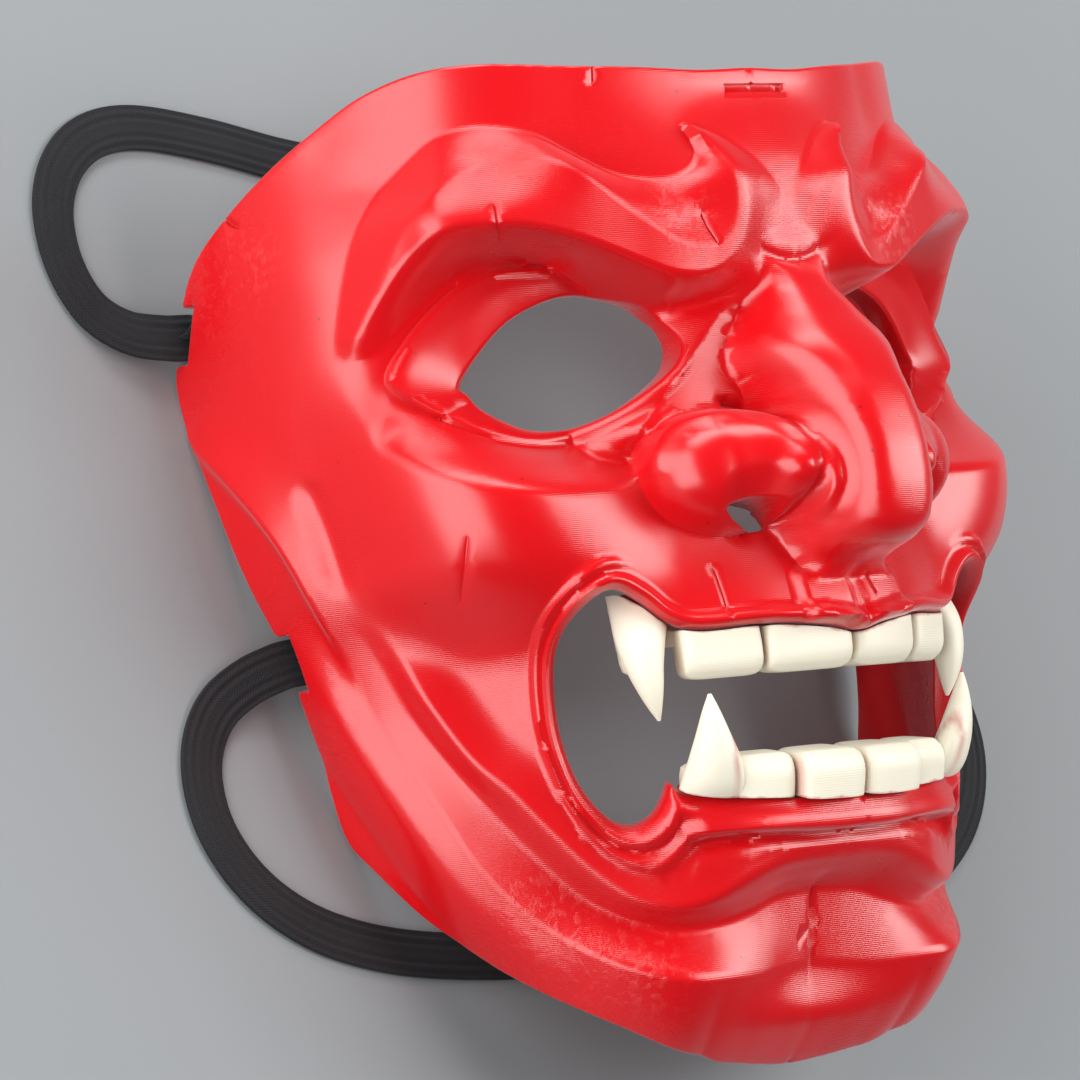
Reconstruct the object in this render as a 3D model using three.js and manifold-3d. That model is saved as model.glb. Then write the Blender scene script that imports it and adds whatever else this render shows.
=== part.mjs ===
import * as THREE from 'three';
import { mergeVertices } from 'three/addons/utils/BufferGeometryUtils.js';
import Module from 'manifold-3d';

// Full-face mask lying on its back, forehead towards +Y, face upwards.
// The face is drawn on a wrapped sheet: "across" runs round the face from the
// nose line, "along" runs from the jaw up to the forehead, both in millimetres.

// Main sizes
const SHEET_RADIUS = 90;
const WALL = 3.2;
const LYING_TILT_DEG = 13.535;
const GAP = 0.3;
const PLASTIC_RED = 0xd40814;
const TOOTH_CREAM = 0xf1ead6;
const ELASTIC_BLACK = 0x24262b;

// Head form: half width, back depth and front depth at levels from jaw to forehead
const LEVEL = [-136, -110, -80, -45, -10, 20, 50, 78];
const HALF_WIDTH = [48, 62, 75, 82, 87, 89, 88, 85];
const SIDE_DEPTH = [20, 14, 11, 7, 3, 0, 0, 2];
const FRONT_DEPTH = [60, 78, 90, 94, 91, 88, 88, 86];

// Outlines, as [across, along]; halves run from the nose line at the top to the bottom
const RIM_HALF = [
  [0, 72.5], [14, 72.3], [30, 73.5], [46, 74.6], [64, 75.9], [76, 75.4], [86, 73.2],
  [95, 69.6], [109, 61.2], [122, 51], [130.5, 43.5], [135.3, 36], [138, 27], [140.3, 20],
  [139.8, 12], [138.4, 5.9], [133, -18.5], [127.5, -37.8], [125.8, -56.6], [126.3, -68],
  [126, -78], [121.5, -84.5], [110.8, -96.3], [96.5, -105.3], [81.3, -110.3],
  [60.5, -115.8], [40, -122.3], [28, -125.8], [0, -129],
];
const EYE = [
  [73.2, 12.4], [63.6, 22.4], [54.8, 26.8], [46, 28.4], [37.6, 27.2], [29.6, 24.4],
  [25.6, 19.2], [25.2, 16], [28, 12], [34.4, 7.6], [44, 3.2], [53.2, 1.6], [61.6, 2],
  [69.2, 6], [72, 9.6],
];
const LID = [
  [87, 12.8], [82.8, 21.4], [75.4, 28.9], [67.5, 33.8], [57.6, 35.2], [48.5, 34.6],
  [38, 32.6], [28, 28.5], [21, 22.5], [19.5, 16], [24.5, 10.8], [33.5, 4.6], [47, -0.4],
  [59, -1.9], [69.4, 0.2], [78.3, 5],
];
const MOUTH_HALF = [
  [0, -44.8], [8, -43.4], [21, -42], [36, -42], [42.5, -39.5], [47, -35.2], [52.5, -32.5],
  [60.4, -36.8], [65.7, -43.3], [67.9, -51.2], [68.2, -61.2], [65.5, -71.3], [59.8, -78.2],
  [54.5, -79.8], [49.8, -77.8], [47.2, -74.5], [45.6, -71.6], [43.6, -73.6], [38, -74.6],
  [30, -75.4], [10, -76.5], [0, -76.5],
];
const NOSTRIL = [[27.2, -19.4], [22.4, -17.5], [17.4, -18.6], [14.6, -22], [16, -23.2], [21.6, -22.9]];

// Brow: the line where its slopes start, and the edge of its flat top
const BROW_FEET = [
  [95.5, 19], [94.5, 27.5], [92.5, 37], [89.3, 45.8], [83.8, 54], [76.5, 60.3], [68.3, 63],
  [60.4, 62.8], [52.6, 60.2], [46.8, 56.7], [39.2, 52.2], [33, 50.3], [26.8, 50],
  [21.8, 51.7], [19.6, 54.6], [20.2, 57.5], [21.6, 60.6], [17.5, 60], [11.8, 57],
  [4.5, 50.5], [1.5, 45.7], [3.3, 39.2], [8.4, 32.4], [13, 26.5], [20, 23], [28.8, 22],
  [36.2, 26], [43.6, 30], [51, 34], [58.2, 36], [66, 35.6], [74, 32], [80.5, 26.5],
  [87, 19.5], [92, 17.5],
];
const BROW_TOP = [
  [92, 22.5], [86.5, 31.2], [82.2, 38.6], [78.2, 45], [72.4, 50.2], [65.8, 54], [59.3, 55.2],
  [52, 54.1], [44.9, 50.3], [38.7, 44.9], [33.3, 40.5], [27, 36.3], [20.5, 35.5],
  [15.6, 39.8], [14.6, 46.4], [16, 52], [19, 56.4], [21, 59.6], [18, 57], [14.4, 52.3],
  [13, 46.4], [13.8, 39.5], [17.8, 32.6], [22.1, 30], [28.8, 30.2], [36.2, 33.4], [43.6, 37],
  [51, 40], [58.2, 42.1], [62.8, 42.4], [70.3, 42.4], [77.1, 39.2], [83.2, 32.9], [90, 24],
];
const BROW_RISE = [
  [8, 14, 22, 34, 50, 62, 73, 80, 86, 95],
  [9.5, 10, 9.5, 9.5, 11.5, 13.6, 15.4, 12.6, 10.4, 7.4],
];
const BROW_MIDDLE = [[0, 15, 30, 45, 60, 75, 90, 95], [46, 46, 40, 43.5, 48.5, 45, 28, 20]];
const SOCKET_DEPTH = [[12, 24, 45, 60, 75, 92], [-9, -12, -11, -7, -2, 2]];

// Nose: level, rise of the ridge and half width
const NOSE_LEVEL = [-42, -37, -34, -31, -28, -24, -19, -13, -6, 2, 12, 20, 27, 32, 38, 46];
const NOSE_RISE = [6.5, 6, 8, 14, 21.5, 27.5, 30.5, 31, 30, 27.5, 22.5, 17, 11, 7.5, 6.5, 3];
const NOSE_HALF = [9, 9, 10, 11, 12, 13, 13.5, 13.5, 13.5, 13.4, 16.4, 13.4, 8.4, 7.5, 6.5, 5];
const TIP_DROOP = 5.5;
const WING_BEAD = [
  [39.5, -9.5], [37, -3.8], [32.5, -0.6], [26, 0.4], [18, 0.6], [14, -3.6], [11.6, -9],
  [10.8, -14], [11.2, -19.3], [13, -23.5],
];
const WING_GROOVE = [[18.5, 3.4], [13.2, 1.2], [9.9, -3], [8.5, -9.5], [8.3, -16.5], [9.8, -24]];

// Jaw fold, the foot of its wall, and the chin's edge, as [across, along, height]
const JAW_FOLD = [
  [104, -28, 6.5], [98.5, -40, 5.6], [92.5, -54, 4.8], [86.8, -63.8, 4.4], [79.8, -70.6, 4.2],
  [73, -78.3, 4.4], [65, -86.2, 5.6], [56.2, -92, 7.6], [46.7, -93.9, 8.8],
  [38.3, -92.8, 8.8], [30, -89.9, 8], [20.5, -87.6, 6.8], [11, -87.2, 5.8], [0, -87.5, 5.4],
];
const JAW_FOOT = [
  [109, -28, 4], [104.5, -40, 3], [99.5, -54, 2], [94, -64.1, 1.4], [87.3, -73.6, 1.2],
  [80, -82.5, 1.5], [70.9, -91.6, 2.2], [61.4, -96.5, 3.5], [51.4, -99.3, 4.6],
  [41.2, -100.4, 4.6], [31.4, -100, 3.4], [22.8, -99, 1.6], [14.6, -97.7, -0.4], [0, -97.5, -2.4],
];
const CHIN_EDGE = [
  [113.1, -28, 3], [110.3, -39.7, 2.8], [107.2, -51.5, 2.8], [103.5, -60, 3],
  [96, -75, 3.6], [91.4, -83.9, 4.4], [83.5, -92.5, 5.6], [74.5, -98.3, 7.6],
  [62.6, -102.4, 11.6], [50.5, -104.8, 14.4], [42, -105.9, 14.2], [33.1, -107.4, 11.3],
  [23.6, -109, 7.8], [12, -110, 4], [0, -110.3, 1.5],
];
const CHEEK_FLAP = [
  [139.6, 10, 0], [136.8, 6, 1], [126.4, -3.6, 2.5], [118, -14, 3.5], [113, -26, 3.5],
  [110.8, -40, 3], [108.4, -52, 2], [104, -64, 1], [98.8, -76, 0],
];
const CHIN_FULLNESS = [[0, 12, 24, 40, 60, 90], [7.5, 8.2, 9.8, 12.5, 11, 6]];
const LIP_WIDTH_LOW = [
  [0, 20, 30, 38, 44, 48, 54, 60, 66, 72], [6.2, 6.2, 6.6, 7.6, 9.2, 9.6, 8, 6.2, 5, 4.6],
];
const LIP_WIDTH_HIGH = [[0, 50, 56, 62, 72], [6.3, 6.3, 5.6, 4.8, 4.6]];
const UNDER_EYE = [[86, 2], [76, -3.5], [66, -7.5], [56, -8.5], [44, -6.5], [32, -2]];
const CHEEK_DENT = [[107.5, -8], [106.3, -15], [105.5, -24]];
const FACET_SIDE = [[17, 22], [24, 14.4], [31, 6.7], [38, -0.9]];

// Rim notches for the elastic, as [low along, high along, depth]
const NOTCHES = [[22.6, 34.2, 4], [-46.5, -34.9, 4]];

// Small helpers
const clamp = (x, a, b) => Math.min(b, Math.max(a, x));
const ease = (x) => {
  const u = clamp(x, 0, 1);
  return u * u * (3 - 2 * u);
};
const bell = (x) => {
  const u = Math.min(1, Math.abs(x));
  return (1 - u * u) ** 2;
};
const tent = (x) => {
  const u = Math.min(1, Math.abs(x));
  return (1 - u) * (1 - u) * (1 + 0.6 * u);
};

// Smooth curve through [xs, ys] without overshoot at the turning points
function curve(xs, ys) {
  const n = xs.length;
  const g = ys.map((y, i) => {
    if (i === 0) return (ys[1] - y) / (xs[1] - xs[0]);
    if (i === n - 1) return (y - ys[i - 1]) / (xs[i] - xs[i - 1]);
    if ((y - ys[i - 1]) * (ys[i + 1] - y) <= 0) return 0;
    const a = xs[i] - xs[i - 1];
    const b = xs[i + 1] - xs[i];
    return (a * a * ys[i + 1] + (b * b - a * a) * y - b * b * ys[i - 1]) / (a * b * (a + b));
  });
  return (at) => {
    const x = clamp(at, xs[0], xs[n - 1]);
    let i = 0;
    while (i < n - 2 && x >= xs[i + 1]) i += 1;
    const d = xs[i + 1] - xs[i];
    const u = (x - xs[i]) / d;
    const v = 1 - u;
    return ys[i] * (1 + 2 * u) * v * v + g[i] * d * u * v * v
      + ys[i + 1] * u * u * (3 - 2 * u) + g[i + 1] * d * u * u * (u - 1);
  };
}

// Rounded line through control points, every value carried along
function rounded(points, steps, closed) {
  const n = points.length;
  const blend = (p, q, k) => p.map((v, j) => v + (v - q[j]) * k);
  const at = (i) => {
    if (closed) return points[(i + n) % n];
    if (i < 0) return blend(points[0], points[1], 1);
    if (i >= n) return blend(points[n - 1], points[n - 2], 1);
    return points[i];
  };
  const out = [];
  for (let i = 0; i < (closed ? n : n - 1); i += 1) {
    const [a, b, c, d] = [at(i - 1), at(i), at(i + 1), at(i + 2)];
    for (let k = 0; k < steps; k += 1) {
      const u = k / steps;
      out.push(b.map((v, j) => 0.5 * (2 * v + (c[j] - a[j]) * u
        + (2 * a[j] - 5 * v + 4 * c[j] - d[j]) * u * u
        + (3 * v - a[j] - 3 * c[j] + d[j]) * u * u * u)));
    }
  }
  if (!closed) out.push(points[n - 1]);
  return out;
}
const wholeLoop = (half) => [...half, ...half.slice(1, -1).reverse().map(([a, b]) => [-a, b])];

// Nearest place on a line: distance, side, and the carried third value
function nearest(line, x, y, closed) {
  const n = line.length;
  let best = { d: 1e9, side: 0, value: 0 };
  for (let i = 0; i < (closed ? n : n - 1); i += 1) {
    const a = line[i];
    const b = line[(i + 1) % n];
    const ex = b[0] - a[0];
    const ey = b[1] - a[1];
    const k = clamp(((x - a[0]) * ex + (y - a[1]) * ey) / (ex * ex + ey * ey + 1e-12), 0, 1);
    const d = Math.hypot(x - a[0] - k * ex, y - a[1] - k * ey);
    if (d < best.d) {
      const side = Math.sign(ex * (y - a[1]) - ey * (x - a[0]));
      best = { d, side, value: a.length > 2 ? a[2] + (b[2] - a[2]) * k : 0 };
    }
  }
  return best;
}
function inside(loop, x, y) {
  let hit = false;
  for (let i = 0, j = loop.length - 1; i < loop.length; j = i, i += 1) {
    const [x1, y1] = loop[i];
    const [x2, y2] = loop[j];
    if ((y1 > y) !== (y2 > y) && x < ((x2 - x1) * (y - y1)) / (y2 - y1) + x1) hit = !hit;
  }
  return hit;
}
const depthIn = (loop, x, y) => {
  const { d } = nearest(loop, x, y, true);
  return inside(loop, x, y) ? d : -d;
};

// Head form and its outward direction
const halfWidth = curve(LEVEL, HALF_WIDTH);
const sideDepth = curve(LEVEL, SIDE_DEPTH);
const frontDepth = curve(LEVEL, FRONT_DEPTH);
function headPoint(s, y) {
  const p = s / SHEET_RADIUS;
  const back = sideDepth(y);
  return new THREE.Vector3(
    halfWidth(y) * Math.sin(p), y, back + (frontDepth(y) - back) * Math.cos(p));
}
function headNormal(s, y) {
  const e = 0.2;
  const ds = headPoint(s + e, y).sub(headPoint(s - e, y));
  const dy = headPoint(s, y + e).sub(headPoint(s, y - e));
  return ds.cross(dy).normalize();
}

// Carved lines ready for measuring
const rimLoop = rounded(wholeLoop(RIM_HALF), 3, true);
const eyeLoop = rounded(EYE, 3, true);
const lidLoop = rounded(LID, 4, true);
const browFeet = rounded(BROW_FEET, 3, true);
const browTop = rounded(BROW_TOP, 3, true);
const mouthLoop = rounded(wholeLoop(MOUTH_HALF), 3, true);
const nostrilLoop = rounded(NOSTRIL, 3, true);
const jawFold = rounded(JAW_FOLD, 4);
const jawFoot = rounded(JAW_FOOT, 4);
const chinEdge = rounded(CHIN_EDGE, 4);
const cheekFlap = rounded(CHEEK_FLAP, 4);
const underEye = rounded(UNDER_EYE, 4);
const wingBead = rounded(WING_BEAD, 4);
const wingGroove = rounded(WING_GROOVE, 4);
const cheekDent = rounded(CHEEK_DENT, 3);
const browRise = curve(...BROW_RISE);
const browMiddle = curve(...BROW_MIDDLE);
const socketDepth = curve(...SOCKET_DEPTH);
const noseRise = curve(NOSE_LEVEL, NOSE_RISE);
const noseHalf = curve(NOSE_LEVEL, NOSE_HALF);
const chinFullness = curve(...CHIN_FULLNESS);
const lipWidthLow = curve(...LIP_WIDTH_LOW);
const lipWidthHigh = curve(...LIP_WIDTH_HIGH);

// Height of the carved face above the head form, from broad forms to fine ones
function broadForms(t, y) {
  let h = 7.0 * bell((t - 86) / 60) * ease((y + 48) / 24) * ease((66 - y) / 34);
  h += 10.4 * bell((t - 71) / 35) * bell((y + 12) / 34);
  h += 2.6 * bell((t - 72) / 30) * ease((y - 52) / 12);
  h += 7.0 * bell(t / 95) * bell((y + 52) / 46);
  h += 4.5 * bell(t / 60) * bell((y + 84) / 26);
  h += 3.2 * bell(t / 48) * bell((y + 48) / 30);
  h += 6.5 * bell(t / 52) * ease((70 - y) / 24) * ease((y - 10) / 20);
  h += 4.2 * bell((t - 46) / 30) * bell((y + 92) / 26);
  return h + 1.5 * bell(t / 48) * bell((y + 81) / 22);
}
function eyesAndBrow(base, t, y) {
  const socket = ease(1.9 * (1 - Math.hypot((t - 50) / 46, (y - 17) / 31)));
  let h = base * (1 - socket) + socketDepth(t) * socket;
  const besideNose = Math.max(0, 0.737 * (t - 17) + 0.676 * (y - 22));
  const facet = Math.max(h, 2.2 - besideNose);
  h += (facet - h) * ease((y + 8) / 8) * ease((27 - y) / 5);
  const fromEye = -depthIn(eyeLoop, t, y);
  const lid = ease(depthIn(lidLoop, t, y) / 1.6) * ease((t - 22 - 16 * ease((y - 14) / 10)) / 14);
  h += lid * (2.2 + 1.6 * clamp(fromEye / 9, 0, 1));
  h -= 1.2 * bell(nearest(underEye, t, y).d / 5);
  const fromFeet = nearest(browFeet, t, y, true).d;
  const fromTop = nearest(browTop, t, y, true).d;
  let u = inside(browTop, t, y) ? 0 : fromTop / (fromFeet + fromTop + 1e-9);
  if (!inside(browFeet, t, y)) u = 1;
  const above = ease((y - browMiddle(t)) / 6 + 0.5);
  const onBrow = 1 - above * (0.45 * u + 0.55 * u ** 2.2) - (1 - above) * (0.55 * u + 0.45 * ease(u));
  let rise = browRise(t) - 4 * ease((y - 48) / 10) * ease((30 - t) / 8);
  rise -= 7 * ease((y - 42) / 16) * ease((t - 44) / 20);
  return h * (1 - onBrow) + rise * onBrow;
}
function nose(base, t, y) {
  let h = base;
  const across = t / noseHalf(y);
  if (across < 1) {
    const core = (1 - across ** 3) ** 0.7;
    const gate = ease((y + 44) / 6) * ease((50 - y) / 8);
    h = Math.max(h, h * (1 - core) + noseRise(y) * core) * gate + h * (1 - gate);
  }
  const r = Math.hypot(t > 25 ? (t - 25) / 16 : (25 - t) / 21, (y + 11) / 13);
  if (r < 1) h = Math.max(h, 1 + (14 + 0.62 * Math.max(0, 25 - t)) * (1 - r ** 2.4) ** 0.6);
  h += 1.4 * bell(nearest(wingBead, t, y).d / 1.9);
  h += 3.5 * bell(Math.hypot((t - 14.2) / 5.5, (y + 15) / 9));
  h -= 3.4 * bell(Math.hypot((t - 22) / 7.5, (y + 18) / 8));
  return h - 2.2 * bell(nearest(wingGroove, t, y).d / 2);
}
function jawAndCheek(base, t, y) {
  const flap = nearest(cheekFlap, t, y);
  let h = base + flap.value * tent(flap.d / (flap.side < 0 ? 14 : 4));
  h -= 1.1 * bell(nearest(cheekDent, t, y).d / 4.5);
  const fold = nearest(jawFold, t, y);
  const foot = nearest(jawFoot, t, y);
  const edge = nearest(chinEdge, t, y);
  let jaw = h + (fold.value - h) * tent(fold.d / 11);
  if (edge.side > 0) {
    const more = Math.max(edge.value, chinFullness(t)) - edge.value;
    const full = edge.value + more * ease(edge.d / 9);
    const kept = ease((100 - t) / 25);
    const fall = kept * 0.3 * (edge.d / 20) ** 2 + (1 - kept) * clamp(edge.d / 21, 0, 1) ** 1.6;
    jaw = h + (full - h) * (1 - fall);
  } else if (fold.side > 0 && foot.side > 0) {
    jaw = foot.value + (edge.value - foot.value) * (foot.d / (foot.d + edge.d + 1e-9)) ** 1.2;
  } else if (fold.side > 0) {
    jaw = fold.value + (foot.value - fold.value) * ease(fold.d / (fold.d + foot.d + 1e-9));
  }
  return h + (jaw - h) * ease((-30 - y) / 22);
}
function lips(base, s, t, y) {
  const pad = ease((14 - t) / 1.3) * ease((y + 44) / 2) * ease((-31 - y) / 3);
  let h = base + pad * (2.4 - 1.2 * bell(t / 3));
  h -= 1.8 * bell((y - 31.5 - 0.04 * t * t) / 1.8) * bell(t / 12);
  const upper = ease((y + 62) / 10);
  const u = -depthIn(mouthLoop, s, y) / (lipWidthLow(t) * (1 - upper) + lipWidthHigh(t) * upper);
  const second = 1 - upper * (1 - ease((t - 46) / 8));
  const single = (1 - upper) * ease((46 - t) / 8);
  const two = 2.5 * bell((u - 0.27) / 0.33) + 1.7 * second * bell((u - 0.78) / 0.26);
  const one = 3 * ease(u / 0.72) * ease((1.06 - u) / 0.3) - 2.2 * bell((u - 1.2) / 0.3);
  return h + two * (1 - single) + one * single;
}
function carve(s, y) {
  const t = Math.abs(s);
  return lips(jawAndCheek(nose(eyesAndBrow(broadForms(t, y), t, y), t, y), t, y), s, t, y);
}
const droop = (s, y, h) => -TIP_DROOP * bell((y + 24) / 14) * bell(s / 16) * clamp((h - 8) / 22, 0, 1);
function lifted(s, y, h) {
  const p = headPoint(s, y).addScaledVector(headNormal(s, y), h);
  p.y += droop(s, y, h);
  return p;
}
// Inner face: follows the lowest carving close by, one wall below it
function innerHeight(s, y) {
  let low = carve(s, y);
  for (const reach of [3.2, 6.2]) {
    for (let k = 0; k < 8; k += 1) {
      const a = (k * Math.PI) / 4;
      low = Math.min(low, carve(s + reach * Math.cos(a), y + reach * Math.sin(a)));
    }
  }
  return low - WALL;
}

// Manifold helpers
const wasm = await Module();
wasm.setup();
function solid(geometry) {
  const g = geometry.clone();
  g.deleteAttribute('normal');
  g.deleteAttribute('uv');
  const m = mergeVertices(g, 1e-5);
  return new wasm.Manifold(new wasm.Mesh({
    numProp: 3,
    vertProperties: new Float32Array(m.attributes.position.array),
    triVerts: new Uint32Array(m.index.array),
  }));
}
function geometryOf(body) {
  const m = body.getMesh();
  const g = new THREE.BufferGeometry();
  const p = new Float32Array(m.numVert * 3);
  for (let i = 0; i < m.numVert; i += 1) {
    for (let j = 0; j < 3; j += 1) p[3 * i + j] = m.vertProperties[i * m.numProp + j];
  }
  g.setAttribute('position', new THREE.BufferAttribute(p, 3));
  g.setIndex(Array.from(m.triVerts));
  return g;
}
function prism(loop, low, high) {
  const shape = new THREE.Shape(loop.map(([x, y]) => new THREE.Vector2(x, y)));
  const g = new THREE.ExtrudeGeometry(shape, { depth: high - low, bevelEnabled: false });
  return g.translate(0, 0, low);
}
const flipX = (loop) => loop.map(([x, y]) => [-x, y]).reverse();
function union(parts) {
  return parts.map(solid).reduce((a, b) => a.add(b));
}

// Points along a line at about the given spacing, corners kept
function walk(line, step, closed) {
  const out = [];
  const n = line.length;
  let carry = 0;
  for (let i = 0; i < (closed ? n : n - 1); i += 1) {
    const a = line[i];
    const b = line[(i + 1) % n];
    const d = Math.hypot(b[0] - a[0], b[1] - a[1]);
    for (let at = carry; at < d; at += step) {
      out.push([a[0] + ((b[0] - a[0]) * at) / d, a[1] + ((b[1] - a[1]) * at) / d]);
    }
    carry = (((carry - d) % step) + step) % step;
  }
  return out;
}
// The same line moved sideways; a positive amount is to the left of travel
function beside(line, amount, step, closed) {
  const pts = walk(line, step, closed);
  return pts.map(([x, y], i) => {
    const a = pts[Math.max(0, i - 1)];
    const b = pts[Math.min(pts.length - 1, i + 1)];
    const d = Math.hypot(b[0] - a[0], b[1] - a[1]) || 1;
    return [x - ((b[1] - a[1]) / d) * amount, y + ((b[0] - a[0]) / d) * amount];
  });
}
const cornered = (pts, step) => pts.flatMap((a, i) => {
  const b = pts[i + 1];
  if (!b) return [a];
  const n = Math.max(1, Math.round(Math.hypot(b[0] - a[0], b[1] - a[1]) / step));
  return Array.from({ length: n }, (_, k) => a.map((v, j) => v + ((b[j] - v) * k) / n));
});

// Delaunay triangles over scattered points
function triangulate(pts) {
  const n = pts.length;
  const all = [...pts, [-4000, -3000], [4000, -3000], [0, 5000]];
  const circle = (a, b, c) => {
    const [ax, ay] = all[a];
    const bx = all[b][0] - ax;
    const by = all[b][1] - ay;
    const cx = all[c][0] - ax;
    const cy = all[c][1] - ay;
    const d = 2 * (bx * cy - by * cx);
    const ux = (cy * (bx * bx + by * by) - by * (cx * cx + cy * cy)) / d;
    const uy = (bx * (cx * cx + cy * cy) - cx * (bx * bx + by * by)) / d;
    return { v: [a, b, c], x: ax + ux, y: ay + uy, r: ux * ux + uy * uy };
  };
  let tris = [circle(n, n + 1, n + 2)];
  for (let i = 0; i < n; i += 1) {
    const [x, y] = pts[i];
    const edges = new Map();
    const keep = [];
    for (const t of tris) {
      if ((x - t.x) ** 2 + (y - t.y) ** 2 < t.r - 1e-9) {
        for (let k = 0; k < 3; k += 1) {
          const [u, v] = [t.v[k], t.v[(k + 1) % 3]];
          if (edges.has(`${v} ${u}`)) edges.delete(`${v} ${u}`);
          else edges.set(`${u} ${v}`, [u, v]);
        }
      } else keep.push(t);
    }
    tris = keep;
    for (const [u, v] of edges.values()) tris.push(circle(u, v, i));
  }
  return tris.map((t) => t.v).filter((t) => t.every((v) => v < n));
}

// Right half of the sheet: edge first, then carved lines, then filling points
function notchedRim() {
  let line = rimLoop.slice(0, rimHalfCount);
  for (const [low, high, deep] of NOTCHES) {
    const at = (y) => {
      const i = line.findIndex(([t], k) => t > 100 && line[k + 1][1] < y && line[k][1] >= y);
      const [a, b] = [line[i], line[i + 1]];
      return a[0] + ((b[0] - a[0]) * (a[1] - y)) / (a[1] - b[1]);
    };
    const [th, tl] = [at(high), at(low)];
    const step = [[th, high], [th - deep, high], [tl - deep, low], [tl, low]];
    const first = line.findIndex(([t, y]) => t > 100 && y < high);
    const last = line.findIndex(([t, y]) => t > 100 && y < low);
    line = [...line.slice(0, first), ...step, ...line.slice(last)];
  }
  return line;
}
function sheetPoints(fill, withLines) {
  const pts = [];
  const far = (x, y, gap) => pts.every(([a, b]) => Math.hypot(a - x, b - y) >= gap);
  const add = (list, gap) => {
    for (const [x, y] of list) {
      if (x >= -1e-9 && inDomain(x, y, 0.5) && (x < 1e-9 || x > 1.2) && far(x, y, gap)) pts.push([x, y]);
    }
  };
  const edges = [rimEdge, mouthEdge, eyeEdge, nostrilEdge];
  for (const edge of edges) pts.push(...edge);
  const spine = [...cornered([[0, 72.5], [0, -44.8]], withLines ? 3.4 : 7).slice(1, -1),
    ...cornered([[0, -76.5], [0, -129]], withLines ? 3.4 : 7).slice(1, -1)];
  pts.push(...spine);
  if (withLines) {
    for (const [line, step, gap, closed, sides] of LINES) {
      for (const side of sides) add(beside(line, side, step, closed), gap);
    }
  }
  const rows = Math.floor(206 / (fill * 0.87));
  for (let j = 0; j <= rows; j += 1) {
    const y = -130 + j * fill * 0.87;
    for (let x = (j % 2) * fill * 0.5; x < 142; x += fill) add([[x, y]], fill * 0.8);
  }
  return pts;
}
const rimHalfCount = (RIM_HALF.length - 1) * 3 + 1;
const mouthHalfCount = (MOUTH_HALF.length - 1) * 3 + 1;
const evenly = (line, step) => {
  const pts = walk(line, step, false);
  pts[0] = line[0];
  const end = line[line.length - 1];
  while (Math.hypot(pts.at(-1)[0] - end[0], pts.at(-1)[1] - end[1]) < step * 0.5) pts.pop();
  return [...pts, end];
};
const evenLoop = (line, step) => {
  const pts = walk(line, step, true);
  if (Math.hypot(pts.at(-1)[0] - pts[0][0], pts.at(-1)[1] - pts[0][1]) < step * 0.5) pts.pop();
  return pts;
};
const rimLine = notchedRim();
const rimEdge = cornered(rimLine, 5.0).filter((p, i, all) => {
  const q = all[i - 1];
  const corner = rimLine.some((c) => c === p) && NOTCHES.some(([lo, hi]) => p[1] === lo || p[1] === hi);
  return !q || corner || Math.hypot(p[0] - q[0], p[1] - q[1]) > 2.2;
});
const mouthEdge = evenly(mouthLoop.slice(0, mouthHalfCount), 3.2);
const eyeEdge = evenLoop(eyeLoop, 3.3);
const nostrilEdge = evenLoop(nostrilLoop, 2.4);
const wingLoop = Array.from({ length: 40 }, (_, k) => {
  const a = (k * Math.PI) / 20;
  return [25 + (Math.cos(a) > 0 ? 16 : 21) * Math.cos(a), -11 + 13 * Math.sin(a)];
});
const noseSide = (part) => NOSE_LEVEL.map((y, i) => [NOSE_HALF[i] * part, y]);
const LINES = [
  [browTop, 3.7, 2.3, true, [0]],
  [browFeet, 3.9, 2.4, true, [0]],
  [lidLoop, 4.2, 2.2, true, [0, -1.7]],
  [mouthLoop.slice(0, mouthHalfCount), 3.9, 1.9, false, [2, 4.4, 6.8, 9.6]],
  [noseSide(1.02), 3.7, 2.3, false, [0]],
  [noseSide(0.78), 3.7, 2.3, false, [0]],
  [noseSide(0.4), 4.2, 2.9, false, [0]],
  [wingGroove, 3.2, 1.9, false, [0]],
  [wingBead, 3.2, 1.9, false, [0]],
  [wingLoop, 3.5, 2.1, true, [0, -2.4]],
  [jawFold, 4.4, 2.4, false, [0, -3.4]],
  [jawFoot, 4.8, 2.4, false, [0]],
  [chinEdge, 4.4, 2.4, false, [0, 3.6]],
  [FACET_SIDE, 4.2, 2.4, false, [0]],
  [cheekFlap, 4.9, 2.7, false, [0, 3.6]],
  [cheekDent, 4.2, 2.2, false, [0]],
  [underEye, 4.9, 2.9, false, [0]],
];
const rimShape = [...rimEdge];
function inDomain(x, y, margin) {
  if (x < 0) return false;
  const rim = [...rimShape, [-5, -129], [-5, 72.5]];
  if (!inside(rim, x, y)) return false;
  for (const hole of [eyeEdge, nostrilEdge, mouthHole]) if (inside(hole, x, y)) return false;
  if (margin <= 0) return true;
  return [[rimShape, false], [eyeEdge, true], [nostrilEdge, true], [mouthEdge, false]]
    .every(([line, closed]) => nearest(line, x, y, closed).d > 1.7);
}
const mouthHole = [...mouthEdge, [-5, -76.5], [-5, -44.8]];

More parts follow.
